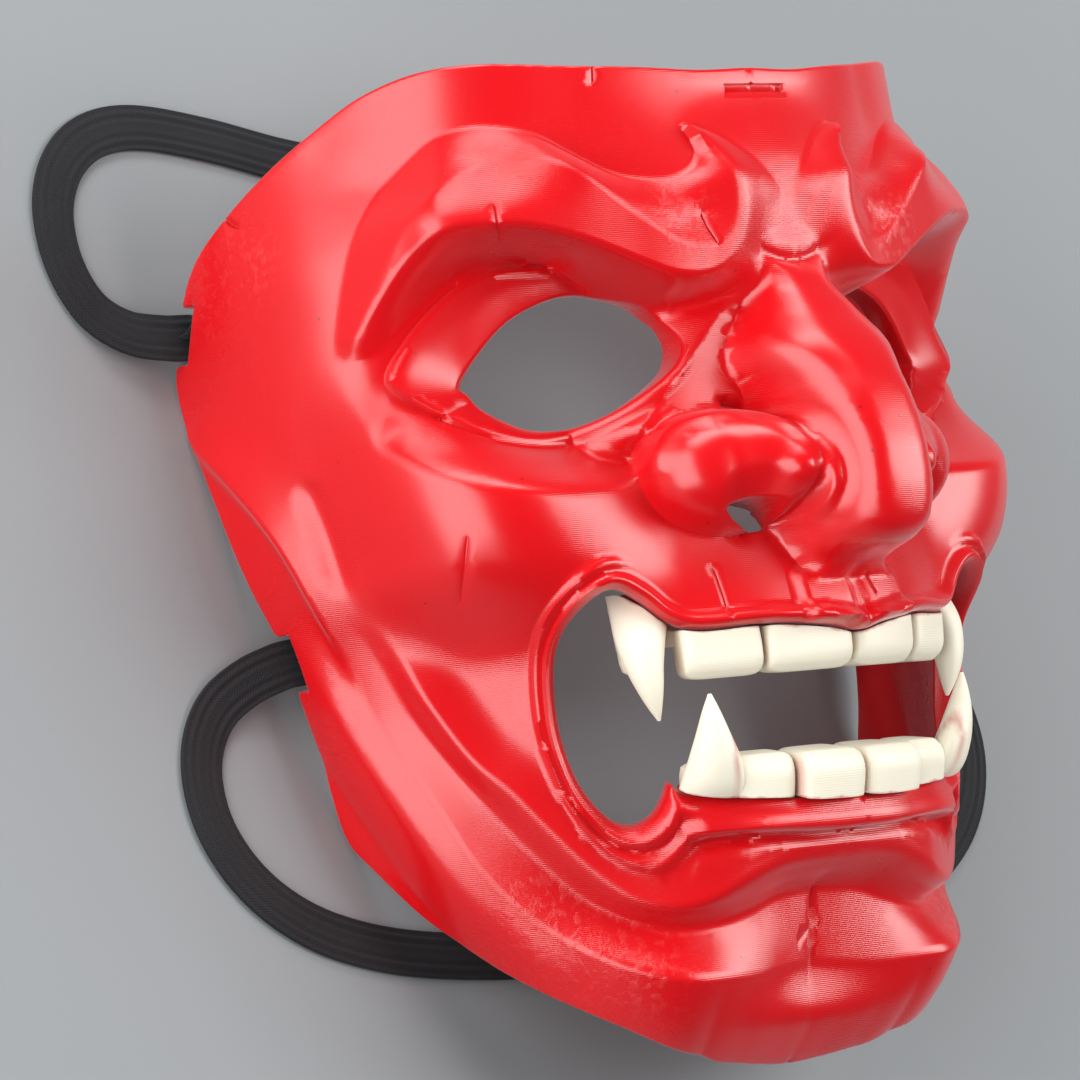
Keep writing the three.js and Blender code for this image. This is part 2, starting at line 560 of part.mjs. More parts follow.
// Shell: both faces are triangulated flat, joined at the edges, then lifted
function buildShell() {
  const pos = [];
  const tri = [];
  const put = (x, y, z) => pos.push(x, y, z) / 3 - 1;
  const edges = [[rimEdge, false, 1], [mouthEdge, false, -1], [eyeEdge, true, 1], [nostrilEdge, true, 1]];
  const count = edges.reduce((sum, [e]) => sum + e.length, 0);
  for (const mirror of [1, -1]) {
    const ids = [];
    for (const outer of [true, false]) {
      const pts = sheetPoints(outer ? 5.4 : 9.5, outer);
      const tris = triangulate(pts).filter((t) => {
        const cx = (pts[t[0]][0] + pts[t[1]][0] + pts[t[2]][0]) / 3;
        const cy = (pts[t[0]][1] + pts[t[1]][1] + pts[t[2]][1]) / 3;
        return inDomain(cx, cy, 0);
      });
      const id = pts.map(([x, y]) => {
        const h = outer ? carve(x, y) : innerHeight(x, y);
        const p = lifted(x, y, h);
        return put(p.x * mirror, p.y, p.z);
      });
      for (const [a, b, c] of tris) {
        const area = (pts[b][0] - pts[a][0]) * (pts[c][1] - pts[a][1])
          - (pts[b][1] - pts[a][1]) * (pts[c][0] - pts[a][0]);
        const up = (area > 0) === (outer === (mirror > 0));
        tri.push(id[a], id[up ? b : c], id[up ? c : b]);
      }
      ids.push(id.slice(0, count));
    }
    let start = 0;
    for (const [edge, closed] of edges) {
      const n = edge.length;
      let area = 0;
      const ring = closed ? edge : [...edge, [-5, edge[n - 1][1]], [-5, edge[0][1]]];
      ring.forEach(([x, y], i) => {
        const [u, v] = ring[(i + 1) % ring.length];
        area += x * v - u * y;
      });
      const hole = edge !== rimEdge;
      const flip = (area > 0) === hole;
      for (let i = 0; i < (closed ? n : n - 1); i += 1) {
        const j = (i + 1) % n;
        const quad = [ids[0][start + i], ids[0][start + j], ids[1][start + j], ids[1][start + i]];
        const turn = flip === (mirror > 0);
        const [a, b, c, d] = turn ? quad : [quad[1], quad[0], quad[3], quad[2]];
        tri.push(a, b, c, a, c, d);
      }
      start += n;
    }
  }
  const g = new THREE.BufferGeometry();
  g.setAttribute('position', new THREE.BufferAttribute(new Float32Array(pos), 3));
  g.setIndex(tri);
  return mergeVertices(g, 1e-4);
}

// Teeth are shaped on the same sheet: across, along, and height above the gum line
const UPPER_GUM = curve([0, 8, 16, 24, 32, 40, 46, 54], [1.6, 1.2, 0.4, -0.5, -1.3, -1.9, -2.1, -2.7]);
const LOWER_GUM = curve([0, 8, 16, 24, 32, 40, 46], [-0.2, -0.1, 0.2, 0.4, 0.0, -1.4, -2.6]);
// Incisors as [across, width, height of the front]
const UPPER_INCISORS = [[10.9, 20.2, 7.2], [30.9, 17.4, 7.2]];
const LOWER_INCISORS = [[8.7, 16.4, 11.2], [25, 15, 8.4]];
const UPPER_BITE = -52;
const LOWER_BITE = -67.2;
// Canines as [across, along, height, half width, half thickness]
const UPPER_CANINE = [
  [45.4, -33.5, -0.5, 7.2, 2.6], [46.6, -38, 2.2, 6.4, 3.4], [47.8, -43, 4.2, 5.4, 3.9],
  [48.1, -48, 5.2, 4.2, 3.6], [47.7, -52.5, 5.6, 3.0, 2.8], [47.1, -56.5, 5.5, 1.6, 1.6],
  [46.5, -59.3, 5.3, 0.35, 0.35],
];
const LOWER_CANINE = [
  [37.2, -80, 1.8, 6.6, 2.8], [37.0, -76.5, 4.0, 7.1, 3.6], [36.8, -72.5, 6.6, 6.9, 4.2],
  [36.5, -67.5, 8.3, 5.5, 3.9], [36.7, -62.5, 9.3, 3.5, 3.0], [36.8, -58, 9.8, 1.8, 1.7],
  [36.8, -54.6, 10.1, 0.35, 0.35],
];
function tooth(x, y, z, a, b, c) {
  const g = new THREE.BoxGeometry(2, 2, 2, 4, 3, 2);
  const p = g.attributes.position;
  const power = 5.5;
  for (let i = 0; i < p.count; i += 1) {
    const [u, v, w] = [p.getX(i), p.getY(i), p.getZ(i)];
    const k = (Math.abs(u) ** power + Math.abs(v) ** power + Math.abs(w) ** power) ** (-1 / power);
    p.setXYZ(i, x + a * u * k, y + b * v * k, z + c * w * k);
  }
  return g;
}
function canine(rings) {
  const sides = 8;
  const pos = [];
  const tri = [];
  for (const [x, y, z, a, c] of rings) {
    for (let k = 0; k < sides; k += 1) {
      const t = (2 * Math.PI * k) / sides;
      pos.push(x + a * Math.cos(t), y, z + c * Math.sin(t));
    }
  }
  const down = rings[0][1] > rings[rings.length - 1][1];
  const face = (a, b, c) => tri.push(...(down ? [a, c, b] : [a, b, c]));
  for (let j = 0; j + 1 < rings.length; j += 1) {
    for (let k = 0; k < sides; k += 1) {
      const [a, b] = [j * sides + k, j * sides + ((k + 1) % sides)];
      face(a, b + sides, b);
      face(a, a + sides, b + sides);
    }
  }
  const last = (rings.length - 1) * sides;
  for (let k = 1; k + 1 < sides; k += 1) {
    face(0, k, k + 1);
    face(last, last + k + 1, last + k);
  }
  const g = new THREE.BufferGeometry();
  g.setAttribute('position', new THREE.BufferAttribute(new Float32Array(pos), 3));
  g.setIndex(tri);
  return g;
}
function mirrored(g) {
  const m = g.clone().scale(-1, 1, 1);
  const f = m.index.array;
  for (let i = 0; i < f.length; i += 3) [f[i], f[i + 2]] = [f[i + 2], f[i]];
  return m;
}
// Everything in front of the gum line stays inside the mouth edge by the gap
function teethRow(incisors, bite, canineRings, gum, stripLow, stripHigh, edgeY) {
  const parts = [];
  for (const [x, width, front] of incisors) {
    const low = Math.min(bite, edgeY);
    const high = Math.max(bite, edgeY);
    const block = tooth(x, (low + high) / 2, (front - 3) / 2,
      width / 2, (high - low) / 2, (front + 3) / 2);
    parts.push(block, mirrored(block));
  }
  const fang = canine(canineRings);
  const root = tooth(canineRings[2][0], edgeY + Math.sign(bite - edgeY) * 3, 0.6, 4.6, 7, 3.4);
  parts.push(fang, mirrored(fang), root, mirrored(root));
  const reach = Math.max(...canineRings.map((r) => r[0])) + 4;
  const strip = new THREE.BoxGeometry(2 * reach, stripHigh - stripLow, 4, 12, 1, 1);
  strip.translate(0, (stripLow + stripHigh) / 2, -2.2);
  parts.push(strip);
  const mouthRing = [...mouthEdge, ...mouthEdge.slice(1, -1).reverse().map(([x, y]) => [-x, y])];
  const ring = mouthRing.map(([x, y], i) => {
    const n = mouthRing.length;
    const a = mouthRing[(i + n - 1) % n];
    const b = mouthRing[(i + 1) % n];
    const d = Math.hypot(b[0] - a[0], b[1] - a[1]);
    return [x + ((b[1] - a[1]) / d) * GAP * 1.6, y - ((b[0] - a[0]) / d) * GAP * 1.6];
  });
  const plate = new THREE.BoxGeometry(300, 300, 30).translate(0, -40, 14.5);
  const outside = solid(plate).subtract(solid(prism(ring, -40, 60)));
  const g = geometryOf(union(parts).subtract(outside));
  const p = g.attributes.position;
  for (let i = 0; i < p.count; i += 1) {
    const [x, y, z] = [p.getX(i), p.getY(i), p.getZ(i)];
    const q = headPoint(x, y).addScaledVector(headNormal(x, y), gum(Math.abs(x)) + z);
    p.setXYZ(i, q.x, q.y, q.z);
  }
  return g;
}

// Elastic: flat band lying on the table, run through a notch on each side
const BAND_WIDTH = 10;
const BAND_THICK = 1.6;
const BAND_REST = 0.85;
const BAND_STEPS = 50;
const UPPER_BAND = [
  [-85.5, 26.4, 6.0], [-88.5, 26.4, 6.0], [-92.5, 26.8, 5.2], [-99.5, 29, 2.9],
  [-105.5, 34, 1.2], [-109.2, 41, BAND_REST], [-110.6, 49.5, BAND_REST], [-109, 59, BAND_REST],
  [-103.5, 67.5, BAND_REST], [-94.5, 73, BAND_REST], [-82, 74.5, BAND_REST], [-64, 71.5, BAND_REST],
  [-44, 66.5, BAND_REST], [-22, 63, BAND_REST], [0, 62, BAND_REST],
];
const LOWER_BAND = [
  [-76.8, -44.6, 7.3], [-81.5, -44.6, 7.2], [-86, -45.1, 6.2], [-93, -47.2, 3.6],
  [-100, -51.5, 1.5], [-105.4, -58.5, BAND_REST], [-108, -67, BAND_REST], [-107.4, -76.5, BAND_REST],
  [-103, -86, BAND_REST], [-95.5, -94, BAND_REST], [-84.5, -100.5, BAND_REST],
  [-68, -105.5, BAND_REST], [-46, -108.5, BAND_REST], [-23, -109.6, BAND_REST], [0, -110, BAND_REST],
];
function band(half) {
  const other = half.slice(0, -1).reverse().map(([x, y, z]) => [-x, y, z]);
  const path = new THREE.CatmullRomCurve3([...half, ...other].map((p) => new THREE.Vector3(...p)));
  const [a, b] = [BAND_WIDTH / 2, BAND_THICK / 2];
  const section = [[-a, -b * 0.4], [-a + 0.7, -b], [a - 0.7, -b], [a, -b * 0.4],
    [a, b * 0.4], [a - 0.7, b], [-a + 0.7, b], [-a, b * 0.4]];
  const shape = new THREE.Shape(section.map(([x, y]) => new THREE.Vector2(x, y)));
  // the width stays level along the whole band
  path.computeFrenetFrames = (count) => {
    const frames = { tangents: [], normals: [], binormals: [] };
    for (let i = 0; i <= count; i += 1) {
      const tangent = path.getTangentAt(i / count);
      const level = new THREE.Vector3(-tangent.y, tangent.x, 0).normalize();
      frames.tangents.push(tangent);
      frames.normals.push(level);
      frames.binormals.push(new THREE.Vector3().crossVectors(tangent, level));
    }
    return frames;
  };
  return new THREE.ExtrudeGeometry(shape, { steps: BAND_STEPS, bevelEnabled: false, extrudePath: path });
}
// Folded end of the elastic, stopped behind the wall
const FOLD_SIZE = [4.2, 12.6, 8];
function foldedEnd(x, y, z) {
  const g = tooth(x, y, z, FOLD_SIZE[0] / 2, FOLD_SIZE[1] / 2, FOLD_SIZE[2] / 2);
  return mergeVertices(g, 1e-4);
}

// Lay the face down and set the lowest point on the table
const group = new THREE.Group();
function place(name, geometry, color, roughness) {
  const material = new THREE.MeshStandardMaterial({ color, roughness, metalness: 0 });
  const mesh = new THREE.Mesh(geometry, material);
  mesh.name = name;
  group.add(mesh);
}
const tilt = THREE.MathUtils.degToRad(LYING_TILT_DEG);
const shell = buildShell().rotateX(tilt);
shell.computeBoundingBox();
const lift = -shell.boundingBox.min.z;
const lay = (g) => g.rotateX(tilt).translate(0, 0, lift);
place('mask_shell', shell.translate(0, 0, lift), PLASTIC_RED, 0.28);
place('upper_teeth', lay(teethRow(
  UPPER_INCISORS, UPPER_BITE, UPPER_CANINE, UPPER_GUM, -45, -36, -40)), TOOTH_CREAM, 0.5);
place('lower_teeth', lay(teethRow(
  LOWER_INCISORS, LOWER_BITE, LOWER_CANINE, LOWER_GUM, -83, -74, -79)), TOOTH_CREAM, 0.5);
place('upper_strap', band(UPPER_BAND), ELASTIC_BLACK, 0.85);
place('lower_strap', band(LOWER_BAND), ELASTIC_BLACK, 0.85);
for (const [name, half] of [['upper', UPPER_BAND], ['lower', LOWER_BAND]]) {
  for (const [side, sign] of [['right', 1], ['left', -1]]) {
    const [x, y, z] = half[0];
    place(`${name}_strap_end_${side}`,
      foldedEnd(sign * (x + FOLD_SIZE[0] / 2 + GAP), y, z + 1), ELASTIC_BLACK, 0.85);
  }
}

// Centre the shell on the origin, seen from above
shell.computeBoundingBox();
const shift = -(shell.boundingBox.min.y + shell.boundingBox.max.y) / 2;
group.children.forEach((mesh) => mesh.geometry.translate(0, shift, 0));

export default group;
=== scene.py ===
# %% [markdown]
# A red warrior's mask with cream teeth lies on its back on a pale table, face up.
# Two black elastic bands run out of notches in its rim and lie on the table.
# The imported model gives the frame: metres, +X to the mask's left cheek, +Y to the
# forehead, +Z out of the face. Everything below is made in that same frame, so no
# piece is moved into place afterwards.
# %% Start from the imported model
import math
import bmesh
import bpy
import numpy as np
from mathutils import Matrix, Vector, geometry


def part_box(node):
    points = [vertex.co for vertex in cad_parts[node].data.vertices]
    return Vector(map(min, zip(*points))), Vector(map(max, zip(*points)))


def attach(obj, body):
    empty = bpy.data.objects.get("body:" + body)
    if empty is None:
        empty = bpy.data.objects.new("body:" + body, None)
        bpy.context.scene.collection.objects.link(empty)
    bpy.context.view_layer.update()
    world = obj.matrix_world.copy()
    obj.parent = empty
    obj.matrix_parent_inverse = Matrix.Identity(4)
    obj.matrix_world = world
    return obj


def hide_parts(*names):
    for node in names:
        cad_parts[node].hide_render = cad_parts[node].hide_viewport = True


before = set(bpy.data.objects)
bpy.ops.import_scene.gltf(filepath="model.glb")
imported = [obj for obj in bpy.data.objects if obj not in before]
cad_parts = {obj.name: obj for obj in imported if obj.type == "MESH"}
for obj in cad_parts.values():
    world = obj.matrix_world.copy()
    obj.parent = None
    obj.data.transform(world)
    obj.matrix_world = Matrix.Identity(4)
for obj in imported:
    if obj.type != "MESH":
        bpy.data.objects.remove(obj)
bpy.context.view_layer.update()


def put(name, data):
    thing = bpy.data.objects.new(name, data)
    bpy.context.scene.collection.objects.link(thing)
    return thing


# %% [markdown]
# The face is easiest to describe standing up: x across, y up, z out of the face, in
# millimetres. The real mask lies tilted, because its temples and jaw corners touch
# the table. One small function turns face millimetres into table metres, and every
# piece and the camera go through it.
# %% From the upright face to the lying mask
LYING_TILT = math.radians(13.535)
DROP_TO_TABLE = -4.6306
SLIDE_TO_CENTRE = 42.4751


def turn_down(direction):
    p = np.asarray(direction, float)
    c, s = math.cos(LYING_TILT), math.sin(LYING_TILT)
    return np.stack([p[..., 0], p[..., 1] * c - p[..., 2] * s, p[..., 1] * s + p[..., 2] * c], -1)


def lay_down(points):
    return (turn_down(points) + [0, SLIDE_TO_CENTRE, DROP_TO_TABLE]) / 1000.0


# %% [markdown]
# The picture is a three-quarter view from the mask's right side, taken from far off
# with a long lens, so the far side of the face shrinks very little. The camera keeps
# that view of the lying face, so it looks down on the table. It is made first, since
# the bands have to be judged from it.
# %% Camera
VIEW_SIDE = math.radians(41.92)
VIEW_RISE = math.radians(-1.93)
VIEW_ROLL = math.radians(-5.46)
VIEW_DISTANCE = 1538.1
VIEW_SHIFT = (-23.1, -4.829)
LENS_MM = 245.1
back = Vector((-math.sin(VIEW_SIDE) * math.cos(VIEW_RISE), math.sin(VIEW_RISE),
               math.cos(VIEW_SIDE) * math.cos(VIEW_RISE)))
level = Vector((0, 1, 0)).cross(back).normalized()
upright = back.cross(level)
right = level * math.cos(VIEW_ROLL) + upright * math.sin(VIEW_ROLL)
above = upright * math.cos(VIEW_ROLL) - level * math.sin(VIEW_ROLL)
aim = Vector((0, -16.5, 44.0))
eye_point = aim + right * VIEW_SHIFT[0] + above * VIEW_SHIFT[1] + back * VIEW_DISTANCE
lens = bpy.data.cameras.new("camera")
lens.lens = LENS_MM
lens.sensor_width = 36.0
lens.clip_end = 20.0
camera = put("camera", lens)
view_right, view_above, view_back = (Vector(turn_down(d)) for d in (right, above, back))
turn = Matrix((view_right, view_above, view_back)).transposed().to_4x4()
camera.matrix_world = Matrix.Translation(Vector(lay_down(eye_point))) @ turn
bpy.context.scene.camera = camera
print("camera at", [round(v, 3) for v in camera.matrix_world.translation])

# %% [markdown]
# Most lines of the mask are a handful of given points. Two ways of joining them
# are used throughout: a smooth height curve that never overshoots its points, and a
# rounded line that passes through its points and carries extra values along.
# %% Smooth curves through a few points


def through(xs, ys):
    xs, ys = np.asarray(xs, float), np.asarray(ys, float)
    pull = np.gradient(ys, xs)
    turning = (ys[1:-1] - ys[:-2]) * (ys[2:] - ys[1:-1]) <= 0
    pull[1:-1][turning] = 0

    def at(x):
        x = np.clip(x, xs[0], xs[-1])
        i = np.clip(np.searchsorted(xs, x, side="right") - 1, 0, len(xs) - 2)
        d = xs[i + 1] - xs[i]
        u = (x - xs[i]) / d
        v = 1 - u
        return (ys[i] * (1 + 2 * u) * v * v + pull[i] * d * u * v * v
                + ys[i + 1] * u * u * (3 - 2 * u) + pull[i + 1] * d * u * u * (u - 1))
    return at


def rounded(points, steps, closed=False):
    p = np.asarray(points, float)
    n = len(p)
    if closed:
        q = np.vstack([p[-1], p, p[0], p[1]])
    else:
        q = np.vstack([2 * p[0] - p[1], p, 2 * p[-1] - p[-2]])
    out = []
    for i in range(n if closed else n - 1):
        a, b, c, d = q[i:i + 4]
        for u in np.arange(steps) / steps:
            out.append(0.5 * (2 * b + (c - a) * u + (2 * a - 5 * b + 4 * c - d) * u * u
                              + (3 * b - a - 3 * c + d) * u ** 3))
    if not closed:
        out.append(p[-1])
    return np.array(out)


def ease(x):
    x = np.clip(x, 0, 1)
    return x * x * (3 - 2 * x)


def bell(x):
    x = np.clip(np.abs(x), 0, 1)
    return (1 - x * x) ** 2


def tent(x):
    x = np.clip(np.abs(x), 0, 1)
    return (1 - x) ** 2 * (1 + 0.6 * x)


# %% [markdown]
# A finish is a node tree. Small helpers keep the trees short: one adds a node with its
# values, and the others add the sums, noises, ranges and reliefs that come up again and
# again. Patterns that two finishes share are made once, as node groups that only give
# out values.
# %% Helpers for node trees


def fill(tree, n, values):
    for key, value in values.items():
        if isinstance(value, bpy.types.NodeSocket):
            tree.links.new(value, n.inputs[key])
        else:
            n.inputs[key].default_value = value


def node(tree, kind, values=None, **settings):
    n = tree.nodes.new(kind)
    for key, value in settings.items():
        setattr(n, key, value)
    fill(tree, n, values or {})
    return n


def sum_of(tree, operation, *values, clamp=False):
    return node(tree, "ShaderNodeMath", dict(enumerate(values)), operation=operation,
                use_clamp=clamp).outputs[0]


def times(tree, first, second, clamp=False):
    return sum_of(tree, "MULTIPLY", first, second, clamp=clamp)


def plus(tree, first, second):
    return sum_of(tree, "ADD", first, second)


def times_plus(tree, value, factor, added):
    return sum_of(tree, "MULTIPLY_ADD", value, factor, added)


def waves(tree, wave, value, per_unit):
    return sum_of(tree, wave, times(tree, value, 2 * math.pi * per_unit))


def noise(tree, place, scale, detail):
    return node(tree, "ShaderNodeTexNoise",
                {"Vector": place, "Scale": scale, "Detail": detail}).outputs["Fac"]


def remap(tree, value, low, high, to_low=0.0, to_high=1.0, **settings):
    return node(tree, "ShaderNodeMapRange", {
        "Value": value, "From Min": low, "From Max": high, "To Min": to_low,
        "To Max": to_high}, **settings).outputs[0]


def bump(tree, height, strength, distance):
    return node(tree, "ShaderNodeBump", {
        "Height": height, "Strength": strength, "Distance": distance}).outputs[0]


def stored(tree, name):
    return node(tree, "ShaderNodeAttribute", attribute_name=name).outputs["Fac"]


def own_place(tree):
    return node(tree, "ShaderNodeTexCoord").outputs["Object"]


def new_finish(name):
    finish = bpy.data.materials.new(name)
    finish.use_nodes = True
    tree = finish.node_tree
    return finish, tree, tree.nodes["Principled BSDF"]


def new_group(name, kind, inputs, outputs):
    tree = bpy.data.node_groups.new(name, kind)
    for label, value in inputs.items():
        if isinstance(value, str):
            tree.interface.new_socket(label, in_out="INPUT", socket_type="NodeSocket" + value)
        else:
            kind = "NodeSocketInt" if isinstance(value, int) else "NodeSocketFloat"
            made = tree.interface.new_socket(label, in_out="INPUT", socket_type=kind)
            made.default_value = value
    for label, value in outputs.items():
        tree.interface.new_socket(label, in_out="OUTPUT", socket_type="NodeSocket" + value)
    return tree, node(tree, "NodeGroupInput").outputs, node(tree, "NodeGroupOutput")


def close_tree(tree, geometry, given, result):
    real = node(tree, "GeometryNodeRealizeInstances", {"Geometry": geometry})
    dressed = node(tree, "GeometryNodeSetMaterial",
                   {"Geometry": real.outputs[0], "Material": given["Finish"]})
    fill(tree, result, {0: dressed.outputs[0]})
    return tree


# %% [markdown]
# The bands are woven elastic: rubber cords run lengthwise and show as ribs, and a
# thread crosses them every three quarters of a millimetre. The ribs are real geometry.
# The cross threads are far too fine for that, so they are a bump that follows the band
# by the distance stored along it. Their colour follows the same wave: raised threads
# are painted lighter and the dips darker, a painted highlight and painted shade on the
# weave, over a random tone.
# %% Finish of the elastic
THREAD_PITCH = 0.00075
THREAD_SHIFTS = 14
# Colours of the weave: painted shade in the dips, painted highlight on the raised threads.
SHADED_THREAD, LIT_THREAD = (0.0022, 0.0024, 0.0032, 1), (0.013, 0.0142, 0.0175, 1)
elastic, tree, shader = new_finish("black_elastic")
place = own_place(tree)
threads = times(tree, waves(tree, "SINE", stored(tree, "along"), 1 / THREAD_PITCH),
                waves(tree, "SINE", stored(tree, "across"), THREAD_SHIFTS))
weave = plus(tree, times(tree, threads, 0.5), times(tree, noise(tree, place, 900.0, 3.0), 0.8))
# Colour follows the thread wave: painted highlight on raised threads, painted shade in the dips,
# plus random tone from a noise.
weave_light_and_tone = plus(tree, remap(tree, threads, -1.0, 1.0, 0.25, 0.75),
            times(tree, noise(tree, place, 70.0, 4.0), 0.35))
ramp = node(tree, "ShaderNodeValToRGB", {"Fac": weave_light_and_tone})
for stop, at, shade in zip(ramp.color_ramp.elements, (0.3, 1.0), (SHADED_THREAD, LIT_THREAD)):
    stop.position = at
    stop.color = shade
fill(tree, shader, {
    "Base Color": ramp.outputs[0], "Roughness": 0.72, "Specular IOR Level": 0.3,
    "Sheen Weight": 0.08, "Sheen Roughness": 0.45, "Normal": bump(tree, weave, 0.6, 0.0002)})
print("elastic finish:", len(tree.nodes), "nodes")

# %% [markdown]
# A band is one flat ribbed section carried along a path, which is what Geometry Nodes
# does well: a circle of points is pressed into a flat oval, its top and bottom are
# waved into ribs, and Curve to Mesh sweeps it. Keeping the curve's normal level stops
# the band from rolling over on its way.
# %% A tree that sweeps ribbed elastic


def ribbed_elastic_tree():
    tree, given, result = new_group(
        "ribbed_elastic", "GeometryNodeTree",
        {"Path": "Geometry", "Width": 0.010, "Thickness": 0.0016, "Ribs": 5.0,
         "Rib Depth": 0.42, "Finish": "Material"}, {"Geometry": "Geometry"})
    ring = node(tree, "GeometryNodeCurvePrimitiveCircle", {"Resolution": 112, "Radius": 1.0})
    spot = node(tree, "ShaderNodeSeparateXYZ",
                {"Vector": node(tree, "GeometryNodeInputPosition").outputs[0]}).outputs

    def pressed(value, power):
        size = sum_of(tree, "POWER", sum_of(tree, "ABSOLUTE", value), power)
        return times(tree, times(tree, size, sum_of(tree, "SIGN", value)), 0.5)
    wide, thick = pressed(spot[0], 0.62), pressed(spot[1], 0.45)
    wave = waves(tree, "COSINE", times(tree, wide, given["Ribs"]), 1)
    wave = times_plus(tree, wave, 0.5, 0.5)
    pinch = sum_of(tree, "SUBTRACT", 1.0, times(tree, wave, given["Rib Depth"]))
    shape = node(tree, "ShaderNodeCombineXYZ", {
        0: times(tree, wide, given["Width"]),
        1: times(tree, times(tree, thick, pinch), given["Thickness"])})

    def keep(geometry, name, value):
        return node(tree, "GeometryNodeStoreNamedAttribute", {
            "Geometry": geometry.outputs[0], "Name": name, "Value": value},
            data_type="FLOAT", domain="POINT").outputs[0]
    section = node(tree, "GeometryNodeSetPosition", {
        "Geometry": keep(ring, "across", wide), "Position": shape.outputs[0]})
    line = node(tree, "GeometryNodeMeshToCurve", {"Mesh": given["Path"]})
    flat = node(tree, "GeometryNodeSetCurveNormal", {"Curve": line.outputs[0]}, mode="Z_UP")
    length = node(tree, "GeometryNodeSplineParameter").outputs["Length"]
    swept = node(tree, "GeometryNodeCurveToMesh", {
        "Curve": keep(flat, "along", length), "Profile Curve": section.outputs[0],
        "Fill Caps": True})
    return close_tree(tree, swept.outputs[0], given, result)


elastic_tree = ribbed_elastic_tree()

# %% [markdown]
# The tree works on a plain line of vertices. A helper hangs the tree on that line,
# sets its inputs by their identifiers, and keeps the evaluated result as an ordinary
# mesh, so no modifier is left on the finished piece. New pieces go through one last
# helper that smooths them and makes sure their faces point outwards.
# %% From a tree to a plain mesh


def show(name, mesh, sharp=None):
    piece = put(name, mesh)
    mesh.shade_smooth()
    if sharp:
        mesh.set_sharp_from_angle(angle=math.radians(sharp))
    return piece


def face_outwards(mesh, merge=None):
    work = bmesh.new()
    work.from_mesh(mesh)
    if merge:
        bmesh.ops.remove_doubles(work, verts=work.verts, dist=merge)
    bmesh.ops.recalc_face_normals(work, faces=work.faces)
    work.to_mesh(mesh)
    work.free()


def grow(name, tree, points, values):
    line = bpy.data.meshes.new(name + "_line")
    edges = [(i, i + 1) for i in range(len(points) - 1)]
    line.from_pydata([tuple(p) for p in points], edges, [])
    host = put(name + "_line", line)
    modifier = host.modifiers.new("grow", "NODES")
    modifier.node_group = tree
    sockets = {item.name: item.identifier for item in tree.interface.items_tree
               if item.in_out == "INPUT"}
    for label, value in values.items():
        modifier[sockets[label]] = value
    result = host.evaluated_get(bpy.context.evaluated_depsgraph_get())
    mesh = bpy.data.meshes.new_from_object(result)
    mesh.name = name
    bpy.data.objects.remove(host)
    face_outwards(mesh, 1e-7)
    return mesh


# %% [markdown]
# Each band leaves a notch in the rim, sinks to the table, swings out and crosses
# under the raised edge of the mask to the other side. The points are half of the
# route in table millimetres, and one without a height lies flat on the table. The
# other half is its mirror image. Elastic is limp, so nothing of it stands in the air
# except the short slope down from its notch.
# %% Routes of the two bands
BAND_WIDTH = 0.010
BAND_THICKNESS = 0.0016
REST = 0.85
UPPER_ROUTE = [
    (-85.5, 26.4, 6.0), (-88.5, 26.4, 6.0), (-92.5, 26.8, 5.2), (-99.5, 29, 2.9),
    (-105.5, 34, 1.2), (-109.2, 41), (-110.6, 49.5), (-109, 59),
    (-103.5, 67.5), (-94.5, 73), (-82, 74.5), (-64, 71.5),
    (-44, 66.5), (-22, 63), (0, 62)]
LOWER_ROUTE = [
    (-76.8, -44.6, 7.3), (-81.5, -44.6, 7.2), (-86, -45.1, 6.2), (-93, -47.2, 3.6),
    (-100, -51.5, 1.5), (-105.4, -58.5), (-108, -67), (-107.4, -76.5),
    (-103, -86), (-95.5, -94), (-84.5, -100.5), (-68, -105.5),
    (-46, -108.5), (-23, -109.6), (0, -110)]


def band_route(half):
    half = np.array([(*p, REST)[:3] for p in half]) + [0, SLIDE_TO_CENTRE, 0]
    whole = np.vstack([half, (half[:-1] * [-1, 1, 1])[::-1]]) / 1000.0
    return rounded(whole, 9)


# %% Make the bands
for which, half in (("upper", UPPER_ROUTE), ("lower", LOWER_ROUTE)):
    route = band_route(half)
    mesh = grow(which + "_band", elastic_tree, route, {
        "Width": BAND_WIDTH, "Thickness": BAND_THICKNESS, "Finish": elastic})
    band = show(which + "_band", mesh)
    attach(band, "root")
    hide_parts(which + "_strap")

# %% [markdown]
# Behind the wall each end is folded over on itself and sewn, which makes it too thick
# to slip back through its notch. The same tree sweeps a shorter, wider piece along a
# folded line, and a second tree sets a row of stitches across the fold.
# %% A tree for a row of stitches


def stitch_tree():
    tree, given, result = new_group(
        "stitch_row", "GeometryNodeTree",
        {"Path": "Geometry", "Spacing": 0.0012, "Length": 0.0022, "Thread": 0.00022,
         "Slant": 0.5, "Seed": 4, "Finish": "Material"}, {"Geometry": "Geometry"})
    line = node(tree, "GeometryNodeMeshToCurve", {"Mesh": given["Path"]})
    spots = node(tree, "GeometryNodeCurveToPoints",
                 {"Curve": line.outputs[0], "Length": given["Spacing"]}, mode="LENGTH")
    stitch = node(tree, "GeometryNodeMeshCylinder", {
        "Vertices": 6, "Side Segments": 1, "Fill Segments": 1,
        "Radius": given["Thread"], "Depth": given["Length"]})
    odd = sum_of(tree, "MODULO", node(tree, "GeometryNodeInputIndex").outputs[0], 2.0)
    swing = times(tree, times_plus(tree, odd, 2.0, -1.0), given["Slant"])
    shake = node(tree, "FunctionNodeRandomValue", {"Seed": given["Seed"]}, data_type="FLOAT")
    jitter = times_plus(tree, shake.outputs[1], 0.2, -0.1)
    lean = node(tree, "ShaderNodeCombineXYZ", {0: plus(tree, swing, jitter)})
    row = node(tree, "GeometryNodeInstanceOnPoints", {
        "Points": spots.outputs[0], "Instance": stitch.outputs[0], "Rotation": lean.outputs[0]})
    return close_tree(tree, row.outputs[0], given, result)


row_of_stitches = stitch_tree()

# %% Make the four folded ends


